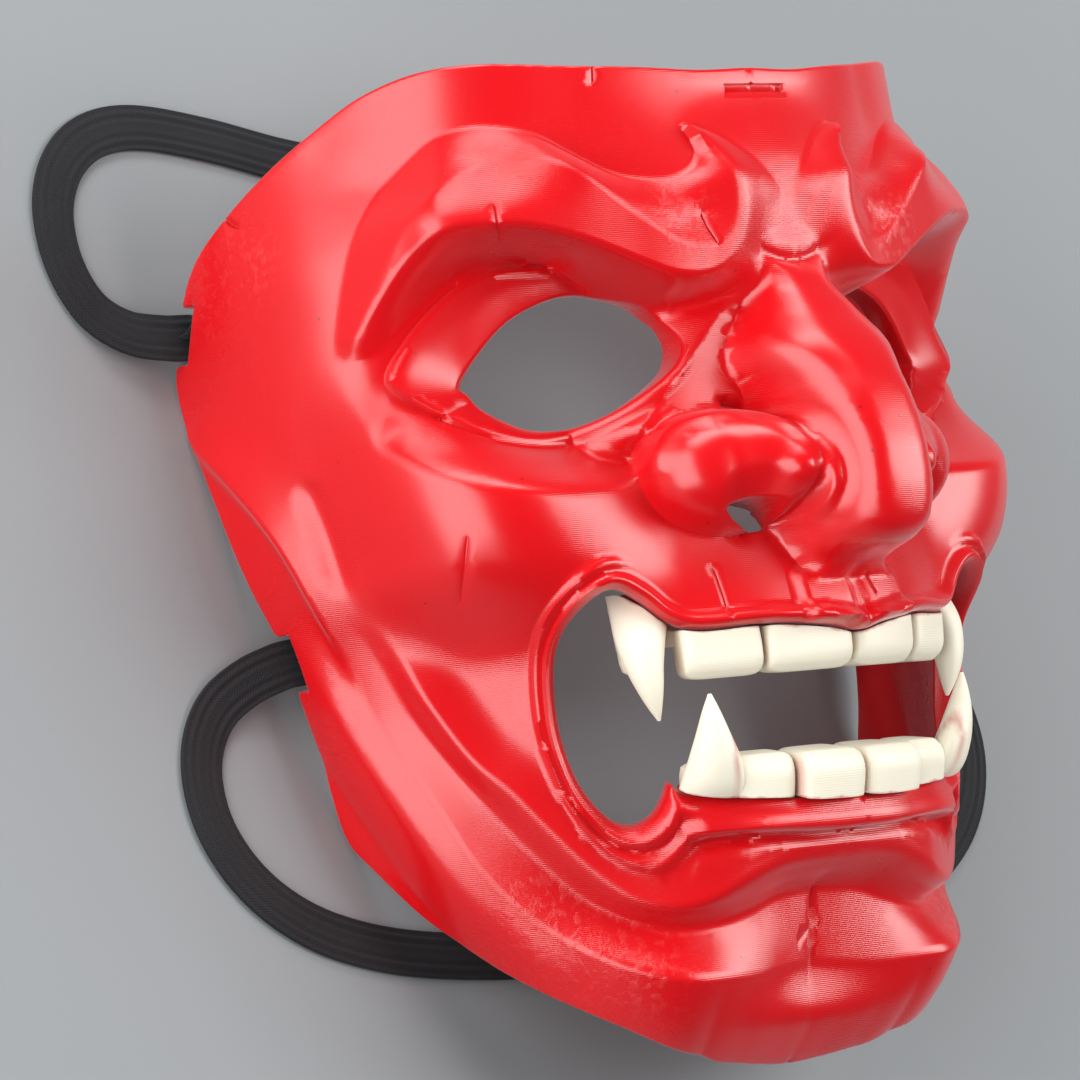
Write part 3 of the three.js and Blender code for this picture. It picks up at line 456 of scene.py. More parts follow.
def folded_line(low, high, near, far, y):
    layers = 3
    step = (far - near) / layers
    turn = step / 2
    points = []
    for k in range(layers):
        x = near + step * (k + 0.5)
        ends = (low + turn, high - turn) if k % 2 == 0 else (high - turn, low + turn)
        points += [(x, y, z) for z in np.linspace(*ends, 7)]
        if k + 1 < layers:
            lift = 1 if k % 2 == 0 else -1
            for a in np.radians((30, 60, 90, 120, 150)):
                points.append((x + turn * (1 - math.cos(a)), y,
                               ends[1] + lift * turn * math.sin(a)))
    return np.array(points)


FOLD_WIDTH = 0.0115
FOLD_THICKNESS = 0.0012
FOLD_INSET = 0.0003
SEAM_HALF = 0.0045
for which in ("upper", "lower"):
    for side in ("right", "left"):
        name = f"{which}_strap_end_{side}"
        low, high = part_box(name)
        middle = (low[1] + high[1]) / 2
        inner, outer = sorted((low[0], high[0]), key=abs)
        gap = 0.0002 if outer > 0 else -0.0002
        line = folded_line(low[2] + FOLD_INSET, high[2] - FOLD_INSET, outer - gap, inner + gap,
                           middle)
        fold = grow(name + "_fold", elastic_tree, line, {
            "Width": FOLD_WIDTH, "Thickness": FOLD_THICKNESS, "Ribs": 6.0, "Finish": elastic})
        seam = [(inner + gap * 1.5, middle + v, (low[2] + high[2]) / 2)
                for v in np.linspace(-SEAM_HALF, SEAM_HALF, 10)]
        sewn = grow(name + "_seam", row_of_stitches, seam, {"Finish": elastic})
        joined = bmesh.new()
        joined.from_mesh(fold)
        joined.from_mesh(sewn)
        joined.to_mesh(fold)
        joined.free()
        end = show(name + "_fold", fold)
        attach(end, "root")
        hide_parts(name)
print("folded end:", [round(v * 1000, 1) for v in end.dimensions], "mm")

# %% [markdown]
# The face is drawn on a sheet bent into a rounded barrel: "across" runs round the face
# from the nose line and "along" runs from the jaw to the forehead, both in millimetres.
# The barrel gives each place on the sheet a point in space and an outward direction. A
# carved height above it then makes the whole face, so this is sculpting by formula:
# each wrinkle, lip and brow is a line on the sheet with its own relief.
# %% The bent sheet
SHEET_RADIUS = 90.0
WALL = 3.2
LEVEL = [-136, -110, -80, -45, -10, 20, 50, 78]
half_width = through(LEVEL, [48, 62, 75, 82, 87, 89, 88, 85])
side_depth = through(LEVEL, [20, 14, 11, 7, 3, 0, 0, 2])
front_depth = through(LEVEL, [60, 78, 90, 94, 91, 88, 88, 86])


def sheet_point(s, y):
    p = s / SHEET_RADIUS
    behind = side_depth(y)
    return np.stack([half_width(y) * np.sin(p), y + 0 * s,
                     behind + (front_depth(y) - behind) * np.cos(p)], -1)


def sheet_normal(s, y):
    e = 0.2
    ds = sheet_point(s + e, y) - sheet_point(s - e, y)
    dy = sheet_point(s, y + e) - sheet_point(s, y - e)
    n = np.cross(ds, dy)
    return n / np.linalg.norm(n, axis=-1, keepdims=True)


# %% Outlines and openings of the sheet
RIM_HALF = [
    (0, 72.5), (14, 72.3), (30, 73.5), (46, 74.6), (64, 75.9), (76, 75.4), (86, 73.2),
    (95, 69.6), (109, 61.2), (122, 51), (130.5, 43.5), (135.3, 36), (138, 27), (140.3, 20),
    (139.8, 12), (138.4, 5.9), (133, -18.5), (127.5, -37.8), (125.8, -56.6), (126.3, -68),
    (126, -78), (121.5, -84.5), (110.8, -96.3), (96.5, -105.3), (81.3, -110.3), (60.5, -115.8),
    (40, -122.3), (28, -125.8), (0, -129)]
EYE = [
    (73.2, 12.4), (63.6, 22.4), (54.8, 26.8), (46, 28.4), (37.6, 27.2), (29.6, 24.4),
    (25.6, 19.2), (25.2, 16), (28, 12), (34.4, 7.6), (44, 3.2), (53.2, 1.6), (61.6, 2),
    (69.2, 6), (72, 9.6)]
LID = [
    (87, 12.8), (82.8, 21.4), (75.4, 28.9), (67.5, 33.8), (57.6, 35.2), (48.5, 34.6),
    (38, 32.6), (28, 28.5), (21, 22.5), (19.5, 16), (24.5, 10.8), (33.5, 4.6), (47, -0.4),
    (59, -1.9), (69.4, 0.2), (78.3, 5)]
MOUTH_HALF = [
    (0, -44.8), (8, -43.4), (21, -42), (36, -42), (42.5, -39.5), (47, -35.2), (52.5, -32.5),
    (60.4, -36.8), (65.7, -43.3), (67.9, -51.2), (68.2, -61.2), (65.5, -71.3), (59.8, -78.2),
    (54.5, -79.8), (49.8, -77.8), (47.2, -74.5), (45.6, -71.6), (43.6, -73.6), (38, -74.6),
    (30, -75.4), (10, -76.5), (0, -76.5)]
NOSTRIL = [
    (27.2, -19.4), (22.4, -17.5), (17.4, -18.6), (14.6, -22), (16, -23.2), (21.6, -22.9)]
NOTCHES = [(22.6, 34.2, 4), (-46.5, -34.9, 4)]
RIM_TOP, RIM_BOTTOM = RIM_HALF[0][1], RIM_HALF[-1][1]
LIP_TOP, LIP_BOTTOM = MOUTH_HALF[0][1], MOUTH_HALF[-1][1]
LOOP_STEPS = 5


def whole_loop(half):
    half = np.asarray(half, float)
    return np.vstack([half, half[-2:0:-1] * [-1, 1]])


mouth_loop = rounded(whole_loop(MOUTH_HALF), LOOP_STEPS, True)
half_mouth = mouth_loop[:(len(MOUTH_HALF) - 1) * LOOP_STEPS + 1]
eye_loop, lid_loop = (rounded(loop, LOOP_STEPS, True) for loop in (EYE, LID))
nostril_loop = rounded(NOSTRIL, 6, True)

# %% [markdown]
# The relief lines: the foot and the flat top of the brow, the folds of cheek and jaw,
# the edge of the chin, and the beads and grooves round the wings of the nose. Where a
# line has a third number, it is the height of the carving on that line.
# %% Carved lines
BROW_FEET = [
    (95.5, 19), (94.5, 27.5), (92.5, 37), (89.3, 45.8), (83.8, 54), (76.5, 60.3), (68.3, 63),
    (60.4, 62.8), (52.6, 60.2), (46.8, 56.7), (39.2, 52.2), (33, 50.3), (26.8, 50),
    (21.8, 51.7), (19.6, 54.6), (20.2, 57.5), (21.6, 60.6), (17.5, 60), (11.8, 57),
    (4.5, 50.5), (1.5, 45.7), (3.3, 39.2), (8.4, 32.4), (13, 26.5), (20, 23), (28.8, 22),
    (36.2, 26), (43.6, 30), (51, 34), (58.2, 36), (66, 35.6), (74, 32), (80.5, 26.5),
    (87, 19.5), (92, 17.5)]
BROW_TOP = [
    (92, 22.5), (86.5, 31.2), (82.2, 38.6), (78.2, 45), (72.4, 50.2), (65.8, 54), (59.3, 55.2),
    (52, 54.1), (44.9, 50.3), (38.7, 44.9), (33.3, 40.5), (27, 36.3), (20.5, 35.5),
    (15.6, 39.8), (14.6, 46.4), (16, 52), (19, 56.4), (21, 59.6), (18, 57), (14.4, 52.3),
    (13, 46.4), (13.8, 39.5), (17.8, 32.6), (22.1, 30), (28.8, 30.2), (36.2, 33.4), (43.6, 37),
    (51, 40), (58.2, 42.1), (62.8, 42.4), (70.3, 42.4), (77.1, 39.2), (83.2, 32.9), (90, 24)]
JAW_FOLD = [
    (104, -28, 6.5), (98.5, -40, 5.6), (92.5, -54, 4.8), (86.8, -63.8, 4.4), (79.8, -70.6, 4.2),
    (73, -78.3, 4.4), (65, -86.2, 5.6), (56.2, -92, 7.6), (46.7, -93.9, 8.8),
    (38.3, -92.8, 8.8), (30, -89.9, 8), (20.5, -87.6, 6.8), (11, -87.2, 5.8), (0, -87.5, 5.4)]
JAW_FOOT = [
    (109, -28, 4), (104.5, -40, 3), (99.5, -54, 2), (94, -64.1, 1.4), (87.3, -73.6, 1.2),
    (80, -82.5, 1.5), (70.9, -91.6, 2.2), (61.4, -96.5, 3.5), (51.4, -99.3, 4.6),
    (41.2, -100.4, 4.6), (31.4, -100, 3.4), (22.8, -99, 1.6), (14.6, -97.7, -0.4), (0, -97.5, -2.4)]
CHIN_EDGE = [
    (113.1, -28, 3), (110.3, -39.7, 2.8), (107.2, -51.5, 2.8), (103.5, -60, 3),
    (96, -75, 3.6), (91.4, -83.9, 4.4), (83.5, -92.5, 5.6), (74.5, -98.3, 7.6),
    (62.6, -102.4, 11.6), (50.5, -104.8, 14.4), (42, -105.9, 14.2), (33.1, -107.4, 11.3),
    (23.6, -109, 7.8), (12, -110, 4), (0, -110.3, 1.5)]
CHEEK_FLAP = [
    (139.6, 10, 0), (136.8, 6, 1), (126.4, -3.6, 2.5), (118, -14, 3.5), (113, -26, 3.5),
    (110.8, -40, 3), (108.4, -52, 2), (104, -64, 1), (98.8, -76, 0)]
brow_feet, brow_top = rounded(BROW_FEET, 3, True), rounded(BROW_TOP, 3, True)
jaw_fold, jaw_foot, chin_edge, cheek_flap = (
    rounded(c, 4) for c in (JAW_FOLD, JAW_FOOT, CHIN_EDGE, CHEEK_FLAP))
under_eye = rounded([(86, 2), (76, -3.5), (66, -7.5), (56, -8.5), (44, -6.5), (32, -2)], 4)
wing_bead = rounded([(39.5, -9.5), (37, -3.8), (32.5, -0.6), (26, 0.4), (18, 0.6), (14, -3.6),
                     (11.6, -9), (10.8, -14), (11.2, -19.3), (13, -23.5)], 4)
wing_groove = rounded([(18.5, 3.4), (13.2, 1.2), (9.9, -3), (8.5, -9.5), (8.3, -16.5),
                       (9.8, -24)], 4)
cheek_dent = rounded([(107.5, -8), (106.3, -15), (105.5, -24)], 3)

# %% [markdown]
# Everything is measured by distance to these lines, for thousands of places at once.
# The side of the line and the carried third number come out of the same search.
# %% Distance to a line


def near(line, x, y, closed=False):
    a = line if closed else line[:-1]
    b = np.roll(line, -1, 0) if closed else line[1:]
    best = np.full(x.shape, 1e9)
    side = np.zeros(x.shape)
    carried = np.zeros(x.shape)
    for p, q in zip(a, b):
        e = q[:2] - p[:2]
        k = np.clip(((x - p[0]) * e[0] + (y - p[1]) * e[1]) / (e @ e + 1e-12), 0, 1)
        dx, dy = x - p[0] - k * e[0], y - p[1] - k * e[1]
        d = dx * dx + dy * dy
        hit = d < best
        best = np.where(hit, d, best)
        side = np.where(hit, np.sign(e[0] * (y - p[1]) - e[1] * (x - p[0])), side)
        if line.shape[1] > 2:
            carried = np.where(hit, p[2] + (q[2] - p[2]) * k, carried)
    return np.sqrt(best), side, carried


def bead(line, x, y, reach):
    return bell(near(line, x, y)[0] / reach)


def inside(loop, x, y):
    hit = np.zeros(x.shape, bool)
    for (x1, y1), (x2, y2) in zip(loop[:, :2], np.roll(loop[:, :2], 1, 0)):
        if y1 != y2:
            hit ^= ((y1 > y) != (y2 > y)) & (x < (x2 - x1) * (y - y1) / (y2 - y1) + x1)
    return hit


def depth_in(loop, x, y):
    d = near(loop[:, :2], x, y, True)[0]
    return np.where(inside(loop, x, y), d, -d)


# %% [markdown]
# The carving, from broad to fine: cheek and muzzle swell, the eye sockets sink, lids
# and brows stand up again, the nose takes over from whatever is lower, and the lips
# and folds are added last. It is the same sum that shaped the solid model, so the
# fine surface and the model agree.
# %% Profiles across and along the face
brow_rise = through([8, 14, 22, 34, 50, 62, 73, 80, 86, 95],
                    [9.5, 10, 9.5, 9.5, 11.5, 13.6, 15.4, 12.6, 10.4, 7.4])
brow_middle = through([0, 15, 30, 45, 60, 75, 90, 95], [46, 46, 40, 43.5, 48.5, 45, 28, 20])
lip_width_low = through([0, 20, 30, 38, 44, 48, 54, 60, 66, 72],
                        [6.2, 6.2, 6.6, 7.6, 9.2, 9.6, 8, 6.2, 5, 4.6])
chin_fullness = through([0, 12, 24, 40, 60, 90], [7.5, 8.2, 9.8, 12.5, 11, 6])
lip_width_high = through([0, 50, 56, 62, 72], [6.3, 6.3, 5.6, 4.8, 4.6])
socket_depth = through([12, 24, 45, 60, 75, 92], [-9, -12, -11, -7, -2, 2])
NOSE_LEVEL = [-42, -37, -34, -31, -28, -24, -19, -13, -6, 2, 12, 20, 27, 32, 38, 46]
NOSE_HALF = [9, 9, 10, 11, 12, 13, 13.5, 13.5, 13.5, 13.4, 16.4, 13.4, 8.4, 7.5, 6.5, 5]
nose_rise = through(NOSE_LEVEL, [6.5, 6, 8, 14, 21.5, 27.5, 30.5, 31, 30, 27.5, 22.5, 17, 11,
                                 7.5, 6.5, 3])
nose_half = through(NOSE_LEVEL, NOSE_HALF)
TIP_DROOP = 5.5
WING_ACROSS, WING_ALONG = 25, -11
WING_OUT, WING_IN, WING_TALL = 16, 21, 13
FACET_CORNER = (17, 22)
FACET_TILT = (0.737, 0.676)

# %% [markdown]
# Cheeks, muzzle and jaw are wide soft swellings. Each is a bell across times a bell
# along the face, so one short table and one loop hold most of them.
# %% Broad forms
# Each swelling: height, centre and half width across, centre and half height along.
SWELLINGS = {
    "cheek": (10.4, 71, 35, -12, 34), "muzzle": (7.0, 0, 95, -52, 46),
    "jaw": (4.5, 0, 60, -84, 26), "upper lip": (3.2, 0, 48, -48, 30),
    "jaw corner": (4.2, 46, 30, -92, 26), "lower lip": (1.5, 0, 48, -81, 22)}


def broad_forms(t, y):
    h = 7.0 * bell((t - 86) / 60) * ease((y + 48) / 24) * ease((66 - y) / 34)
    h += 2.6 * bell((t - 72) / 30) * ease((y - 52) / 12)
    h += 6.5 * bell(t / 52) * ease((70 - y) / 24) * ease((y - 10) / 20)
    for height, across, wide, along, tall in SWELLINGS.values():
        h += height * bell((t - across) / wide) * bell((y - along) / tall)
    return h


# %% [markdown]
# The brow has a closed line round its foot and another round its flat top. How far a
# place lies from one line to the other sets its height, so the brow can curl freely.
# %% Eye sockets, lids and brows


def eyes_and_brow(h, t, y):
    socket = ease(1.9 * (1 - np.hypot((t - 50) / 46, (y - 17) / 31)))
    h = h * (1 - socket) + socket_depth(t) * socket
    beside_nose = FACET_TILT[0] * (t - FACET_CORNER[0]) + FACET_TILT[1] * (y - FACET_CORNER[1])
    facet = np.maximum(h, 2.2 - np.maximum(0, beside_nose))
    h += (facet - h) * ease((y + 8) / 8) * ease((27 - y) / 5)
    from_eye = -depth_in(eye_loop, t, y)
    lid = ease(depth_in(lid_loop, t, y) / 1.6)
    lid *= ease((t - 22 - 16 * ease((y - 14) / 10)) / 14)
    h += lid * (2.2 + 1.6 * np.clip(from_eye / 9, 0, 1))
    h -= 1.2 * bead(under_eye, t, y, 5)
    from_feet = near(brow_feet, t, y, True)[0]
    from_top = near(brow_top, t, y, True)[0]
    u = np.where(inside(brow_top, t, y), 0, from_top / (from_feet + from_top + 1e-9))
    u = np.where(inside(brow_feet, t, y), u, 1)
    above = ease((y - brow_middle(t)) / 6 + 0.5)
    on_brow = 1 - (above * (0.45 * u + 0.55 * u ** 2.2)
                   + (1 - above) * (0.55 * u + 0.45 * ease(u)))
    rise = brow_rise(t) - 4 * ease((y - 48) / 10) * ease((30 - t) / 8)
    rise -= 7 * ease((y - 42) / 16) * ease((t - 44) / 20)
    return h * (1 - on_brow) + rise * on_brow


# %% [markdown]
# The nose is a ridge whose height and width change along it. Its wings are domes that
# stand beside it, and where two shapes meet the higher one is kept.
# %% Nose and its wings


def dome(across, along, wide, tall):
    return bell(np.hypot(across / wide, along / tall))


def nose(h, t, y):
    across = np.clip(t / nose_half(y), 0, 1)
    core = np.clip(1 - across ** 3, 0, 1) ** 0.7
    gate = ease((y + 44) / 6) * ease((50 - y) / 8)
    ridge = np.maximum(h, h * (1 - core) + nose_rise(y) * core) * gate + h * (1 - gate)
    h = np.where(across < 1, ridge, h)
    out = t - WING_ACROSS
    r = np.hypot(out / np.where(out > 0, WING_OUT, WING_IN), (y - WING_ALONG) / WING_TALL)
    full = 14 + 0.62 * np.maximum(0, -out)
    wing = 1 + full * np.clip(1 - r ** 2.4, 0, 1) ** 0.6
    h = np.where(r < 1, np.maximum(h, wing), h)
    h += 1.4 * bead(wing_bead, t, y, 1.9)
    h += 3.5 * dome(t - 14.2, y + 15, 5.5, 9)
    h -= 3.4 * dome(t - 22, y + 18, 7.5, 8)
    return h - 2.2 * bead(wing_groove, t, y, 2)


# %% [markdown]
# The lips are beads that run round the mouth at a steady share of the lip's width: two
# thin ones above, one full roll below.
# %% Lips and the step at the root of the nose


def root_line(t):
    return 31.5 + 0.04 * t * t


def lips(h, s, t, y):
    pad = ease((14 - t) / 1.3) * ease((y + 44) / 2) * ease((-31 - y) / 3)
    h += pad * (2.4 - 1.2 * bell(t / 3))
    h -= 1.8 * bell((y - root_line(t)) / 1.8) * bell(t / 12)
    upper = ease((y + 62) / 10)
    width = lip_width_low(t) * (1 - upper) + lip_width_high(t) * upper
    u = -depth_in(mouth_loop, s, y) / width
    second = 1 - upper * (1 - ease((t - 46) / 8))
    single = (1 - upper) * ease((46 - t) / 8)
    two = 2.5 * bell((u - 0.27) / 0.33) + 1.7 * second * bell((u - 0.78) / 0.26)
    one = 3 * ease(u / 0.72) * ease((1.06 - u) / 0.3) - 2.2 * bell((u - 1.2) / 0.3)
    return h + two * (1 - single) + one * single


# %% [markdown]
# Three lines with heights of their own make the jaw. Between two lines the height
# eases from one to the other, and past the last one it falls away under the chin.
# %% Folds of jaw and cheek


def jaw_and_cheek(h, t, y):
    d, side, value = near(cheek_flap, t, y)
    h += value * tent(d / np.where(side < 0, 14, 4))
    h -= 1.1 * bead(cheek_dent, t, y, 4.5)
    fold, below_fold, fold_rise = near(jaw_fold, t, y)
    foot, below_foot, foot_rise = near(jaw_foot, t, y)
    edge, below_edge, edge_rise = near(chin_edge, t, y)
    wall = fold_rise + (foot_rise - fold_rise) * ease(fold / (fold + foot + 1e-9))
    front = foot_rise + (edge_rise - foot_rise) * (foot / (foot + edge + 1e-9)) ** 1.2
    above = h + (fold_rise - h) * tent(fold / 11)
    full = edge_rise + (np.maximum(edge_rise, chin_fullness(t)) - edge_rise) * ease(edge / 9)
    kept = ease((100 - t) / 25)
    fall = kept * 0.3 * (edge / 20) ** 2 + (1 - kept) * np.clip(edge / 21, 0, 1) ** 1.6
    under = h + (full - h) * (1 - fall)
    jaw = np.where(below_foot > 0, front, wall)
    jaw = np.where(below_fold > 0, jaw, above)
    jaw = np.where(below_edge > 0, under, jaw)
    gate = ease((-30 - y) / 22)
    return h + (jaw - h) * gate


# %% All the carving together


def carve(s, y):
    t = np.abs(s)
    h = nose(eyes_and_brow(broad_forms(t, y), t, y), t, y)
    return lips(jaw_and_cheek(h, t, y), s, t, y)


def lifted(s, y, h):
    p = sheet_point(s, y) + h[..., None] * sheet_normal(s, y)
    p[..., 1] -= TIP_DROOP * bell((y + 24) / 14) * bell(s / 16) * np.clip((h - 8) / 22, 0, 1)
    return p


# %% [markdown]
# The solid model stops at the large carving. The printed mask also has small things
# on one side only: a slot left open in the forehead, hairline cracks in the rim and
# brow, ticks at the eyelid and lip, a long scratch on the cheek. Each is a short line
# with a half width and a depth, and a negative "across" is the mask's right side.
# %% Small marks
MARKS = [
    ([(-39.1, 74.5), (-39.4, 71)], 0.35, 0.5),
    ([(-122.6, 51.2), (-120.6, 49.6), (-118.8, 48.7)], 0.4, 0.8),
    ([(-62.9, 45.6), (-62.7, 42.6), (-62.2, 39.6)], 0.3, 0.5),
    ([(-21.9, 41.5), (-21.4, 39), (-20.1, 35.8)], 0.3, 0.5),
    ([(-76.4, -19.9), (-78.4, -25.5), (-81.2, -31.6)], 0.4, 0.22),
    ([(-77.9, 4.4), (-75.5, 5.9), (-73.5, 7.1)], 0.3, 0.35),
    ([(-29.7, -31), (-29.4, -35.5), (-29.2, -40)], 0.3, 0.4),
    ([(3, -34.2), (4.2, -38)], 0.3, 0.4),
    ([(0, -97), (0, -110)], 0.55, 0.7),
    ([(-5.6, -106.2), (-2, -104.8), (2, -104.2)], 0.35, 0.5),
]
SLOT = (-7.8, 9.6, 67.2, 69.0, 1.0)


def small_marks(s, y):
    cut = np.zeros(s.shape)
    for line, half, depth in MARKS:
        line = np.asarray(line, float)
        close = (s > line[:, 0].min() - 3) & (s < line[:, 0].max() + 3)
        close &= (y > line[:, 1].min() - 3) & (y < line[:, 1].max() + 3)
        d = near(line, s[close], y[close])[0]
        cut[close] += depth * np.clip(1 - d / half, 0, 1) ** 0.8
    left, right_end, low, high, depth = SLOT
    box = np.minimum(np.minimum(s - left, right_end - s), np.minimum(y - low, high - y))
    return cut + depth * ease(box / 0.25 + 0.5)


# %% [markdown]
# A fine surface needs points where the shape bends. The half sheet gets evenly spaced
# points along its edges, rows of points beside every carved line, and a plain grid in
# what is left. A small grid of bins keeps new points from crowding the old ones.
# %% Points spread over the sheet


def along_line(line, step, closed=False):
    p = np.vstack([line, line[:1]]) if closed else line
    run = np.concatenate([[0], np.cumsum(np.linalg.norm(np.diff(p[:, :2], axis=0), axis=1))])
    n = max(2, int(round(run[-1] / step)) + 1)
    at = np.linspace(0, run[-1], n)
    out = np.stack([np.interp(at, run, p[:, 0]), np.interp(at, run, p[:, 1])], -1)
    return out[:-1] if closed else out


def beside(line, amount):
    forward = np.gradient(line, axis=0)
    forward /= np.linalg.norm(forward, axis=1, keepdims=True) + 1e-9
    return line + amount * np.stack([-forward[:, 1], forward[:, 0]], -1)


def notched_rim():
    line = rounded(whole_loop(RIM_HALF), 8, True)[:(len(RIM_HALF) - 1) * 8 + 1]
    for low, high, deep in NOTCHES:
        side = line[:, 0] > 100
        order = np.argsort(line[side][:, 1])
        reach = np.interp([high, low], line[side][order, 1], line[side][order, 0])
        step = [[reach[0], high], [reach[0] - deep, high], [reach[1] - deep, low], [reach[1], low]]
        before = line[~(side & (line[:, 1] < high))]
        before = before[before[:, 1] >= high]
        after = line[line[:, 1] < low]
        line = np.vstack([before, step, after])
    return line


def split_long(line, step):
    out = []
    for p, q in zip(line[:-1], line[1:]):
        n = max(1, int(round(np.linalg.norm(q - p) / step)))
        out += [p + (q - p) * k / n for k in range(n)]
    return np.array(out + [line[-1]])


rim_edge = split_long(notched_rim(), 1.1)
mouth_edge = along_line(half_mouth, 0.9)
eye_edge = along_line(eye_loop, 0.9, True)
nostril_edge = along_line(nostril_loop, 0.6, True)
EDGES = [(rim_edge, False), (mouth_edge, False), (eye_edge, True), (nostril_edge, True)]
boundary = np.vstack([edge for edge, _ in EDGES])
rim_shape = np.vstack([rim_edge, [(-5, RIM_BOTTOM), (-5, RIM_TOP)]])
mouth_shape = np.vstack([mouth_edge, [(-5, LIP_BOTTOM), (-5, LIP_TOP)]])


def on_sheet(x, y):
    ok = inside(rim_shape, x, y)
    for hole in (mouth_shape, eye_edge, nostril_edge):
        ok &= ~inside(hole, x, y)
    return ok


def from_edges(x, y):
    return np.min([near(edge, x, y, closed)[0] for edge, closed in EDGES], axis=0)


print("edge points on half the sheet:", len(boundary))

# %% Collect the points


class Bins:
    def __init__(self):
        self.cells = {}

    def add(self, points):
        for x, y in points:
            self.cells.setdefault((math.floor(x), math.floor(y)), []).append((x, y))

    def crowded(self, x, y, gap):
        reach = int(gap) + 1
        i, j = math.floor(x), math.floor(y)
        for a in range(i - reach, i + reach + 1):
            for b in range(j - reach, j + reach + 1):
                for u, v in self.cells.get((a, b), ()):
                    if (u - x) ** 2 + (v - y) ** 2 < gap * gap:
                        return True
        return False


ROW_RATIO = 0.87
GRID_GAP = 0.72


def scatter(rows, fill, edge_margin):
    spine = []
    for start, stop in ((RIM_TOP, LIP_TOP), (LIP_BOTTOM, RIM_BOTTOM)):
        spine += [(0, y) for y in np.linspace(start, stop, int((start - stop) / fill))[1:-1]]
    bins = Bins()
    bins.add(boundary)
    bins.add(spine)
    chosen = [boundary, np.array(spine)]
    for offset in (0.06, 0.2, 0.42, 0.75):
        for edge, closed in EDGES:
            for amount in (offset, -offset):
                p = beside(edge, amount)
                p = p[(p[:, 0] > 0.3) & on_sheet(p[:, 0], p[:, 1])]
                p = p[from_edges(p[:, 0], p[:, 1]) > offset * 0.93]
                chosen.append(p)
                bins.add(p)
    for line, gap, margin in rows:
        line = line[(line[:, 0] > 0.55) & on_sheet(line[:, 0], line[:, 1])]
        line = line[from_edges(line[:, 0], line[:, 1]) > margin]
        fresh = []
        for x, y in line:
            if not bins.crowded(x, y, gap):
                fresh.append((x, y))
                bins.add(fresh[-1:])
        if fresh:
            chosen.append(np.array(fresh))
    ys = np.arange(RIM_BOTTOM + 0.5, 76, fill * ROW_RATIO)
    grid = np.array([(x + (j % 2) * fill / 2, y) for j, y in enumerate(ys)
                     for x in np.arange(0, 141, fill)])
    grid = grid[(grid[:, 0] > 0.6) & on_sheet(grid[:, 0], grid[:, 1])]
    grid = grid[from_edges(grid[:, 0], grid[:, 1]) > edge_margin]
    grid = np.array([p for p in grid if not bins.crowded(p[0], p[1], fill * GRID_GAP)])
    return np.vstack(chosen + [grid])


# %% Rows beside every carved line
wing_turn = np.linspace(0, 2 * math.pi, 60)
wing_reach = np.where(np.cos(wing_turn) > 0, WING_OUT, WING_IN)
wing_loop = np.stack([WING_ACROSS + wing_reach * np.cos(wing_turn),
                      WING_ALONG + WING_TALL * np.sin(wing_turn)], -1)
facet_side = np.array([(17, 22), (24, 14.4), (31, 6.7), (38, -0.9)])
pad_edge = np.array([(0.6, -43), (13.3, -43), (13.3, -32.5), (0.6, -32.5)])
root_step = np.array([(t, root_line(t)) for t in range(1, 13)])
nose_side = np.stack([NOSE_HALF, NOSE_LEVEL], -1).astype(float)
ROWS = []
for line, half, depth in MARKS:
    flat = np.array([(abs(s), y) for s, y in line], float)
    for amount in (0, half * 0.5, -half * 0.5, half, -half):
        ROWS.append((beside(along_line(flat, 0.4), amount), 0.12, 0.15))
left, right_end, low, high, depth = SLOT
for edges, runs_across, step in (((low, high), True, 0.5), ((-left, right_end), False, 0.35)):
    for edge in edges:
        for at in (edge - 0.13, edge, edge + 0.13):
            ends = [(0.6, at), (9.8, at)] if runs_across else [(at, low), (at, high)]
            ROWS.append((along_line(np.array(ends), step), 0.1, 0.15))
for line, closed, reach in (
        (brow_feet, True, 1.8), (brow_top, True, 1.8), (lid_loop, True, 2.7),
        (jaw_fold[:, :2], False, 2.7), (jaw_foot[:, :2], False, 1.8),
        (chin_edge[:, :2], False, 2.7), (cheek_flap[:, :2], False, 4.5),
        (wing_groove, False, 2.7), (wing_bead, False, 2.7), (wing_loop, True, 1.8),
        (nose_side, False, 1.8), (facet_side, False, 1), (cheek_dent, False, 2.7),
        (pad_edge, False, 1.8), (root_step, False, 2.7)):
    for amount in np.arange(0, reach, 0.9):
        for sign in ((1, -1) if amount else (1,)):
            ROWS.append((beside(along_line(line, 1.0, closed), sign * amount), 0.66, 0.6))
lower_edge = mouth_edge[mouth_edge[:, 1] < -62]
for share in (0.72, 0.76, 1.06):
    crest = share * lip_width_low(lower_edge[:, :1])
    for sign in (1, -1):
        ROWS.append((beside(lower_edge, sign * crest), 0.2, 0.6))
for amount in np.arange(1.4, 10, 0.85):
    for sign in (1, -1):
        ROWS.append((beside(mouth_edge, sign * amount), 0.6, 0.6))
outer_points = scatter(ROWS, 1.45, 1.1)
inner_points = scatter([], 2.7, 1.3)
print("points on half the sheet: outside", len(outer_points), "inside", len(inner_points))

# %% [markdown]
# Blender's constrained Delaunay triangulation joins the points while keeping the edge
# lines whole. Triangles outside the sheet or across a hole are dropped. Both skins
# share the same edge points, so a strip of quads between them closes the rim.
# %% Triangulate both skins


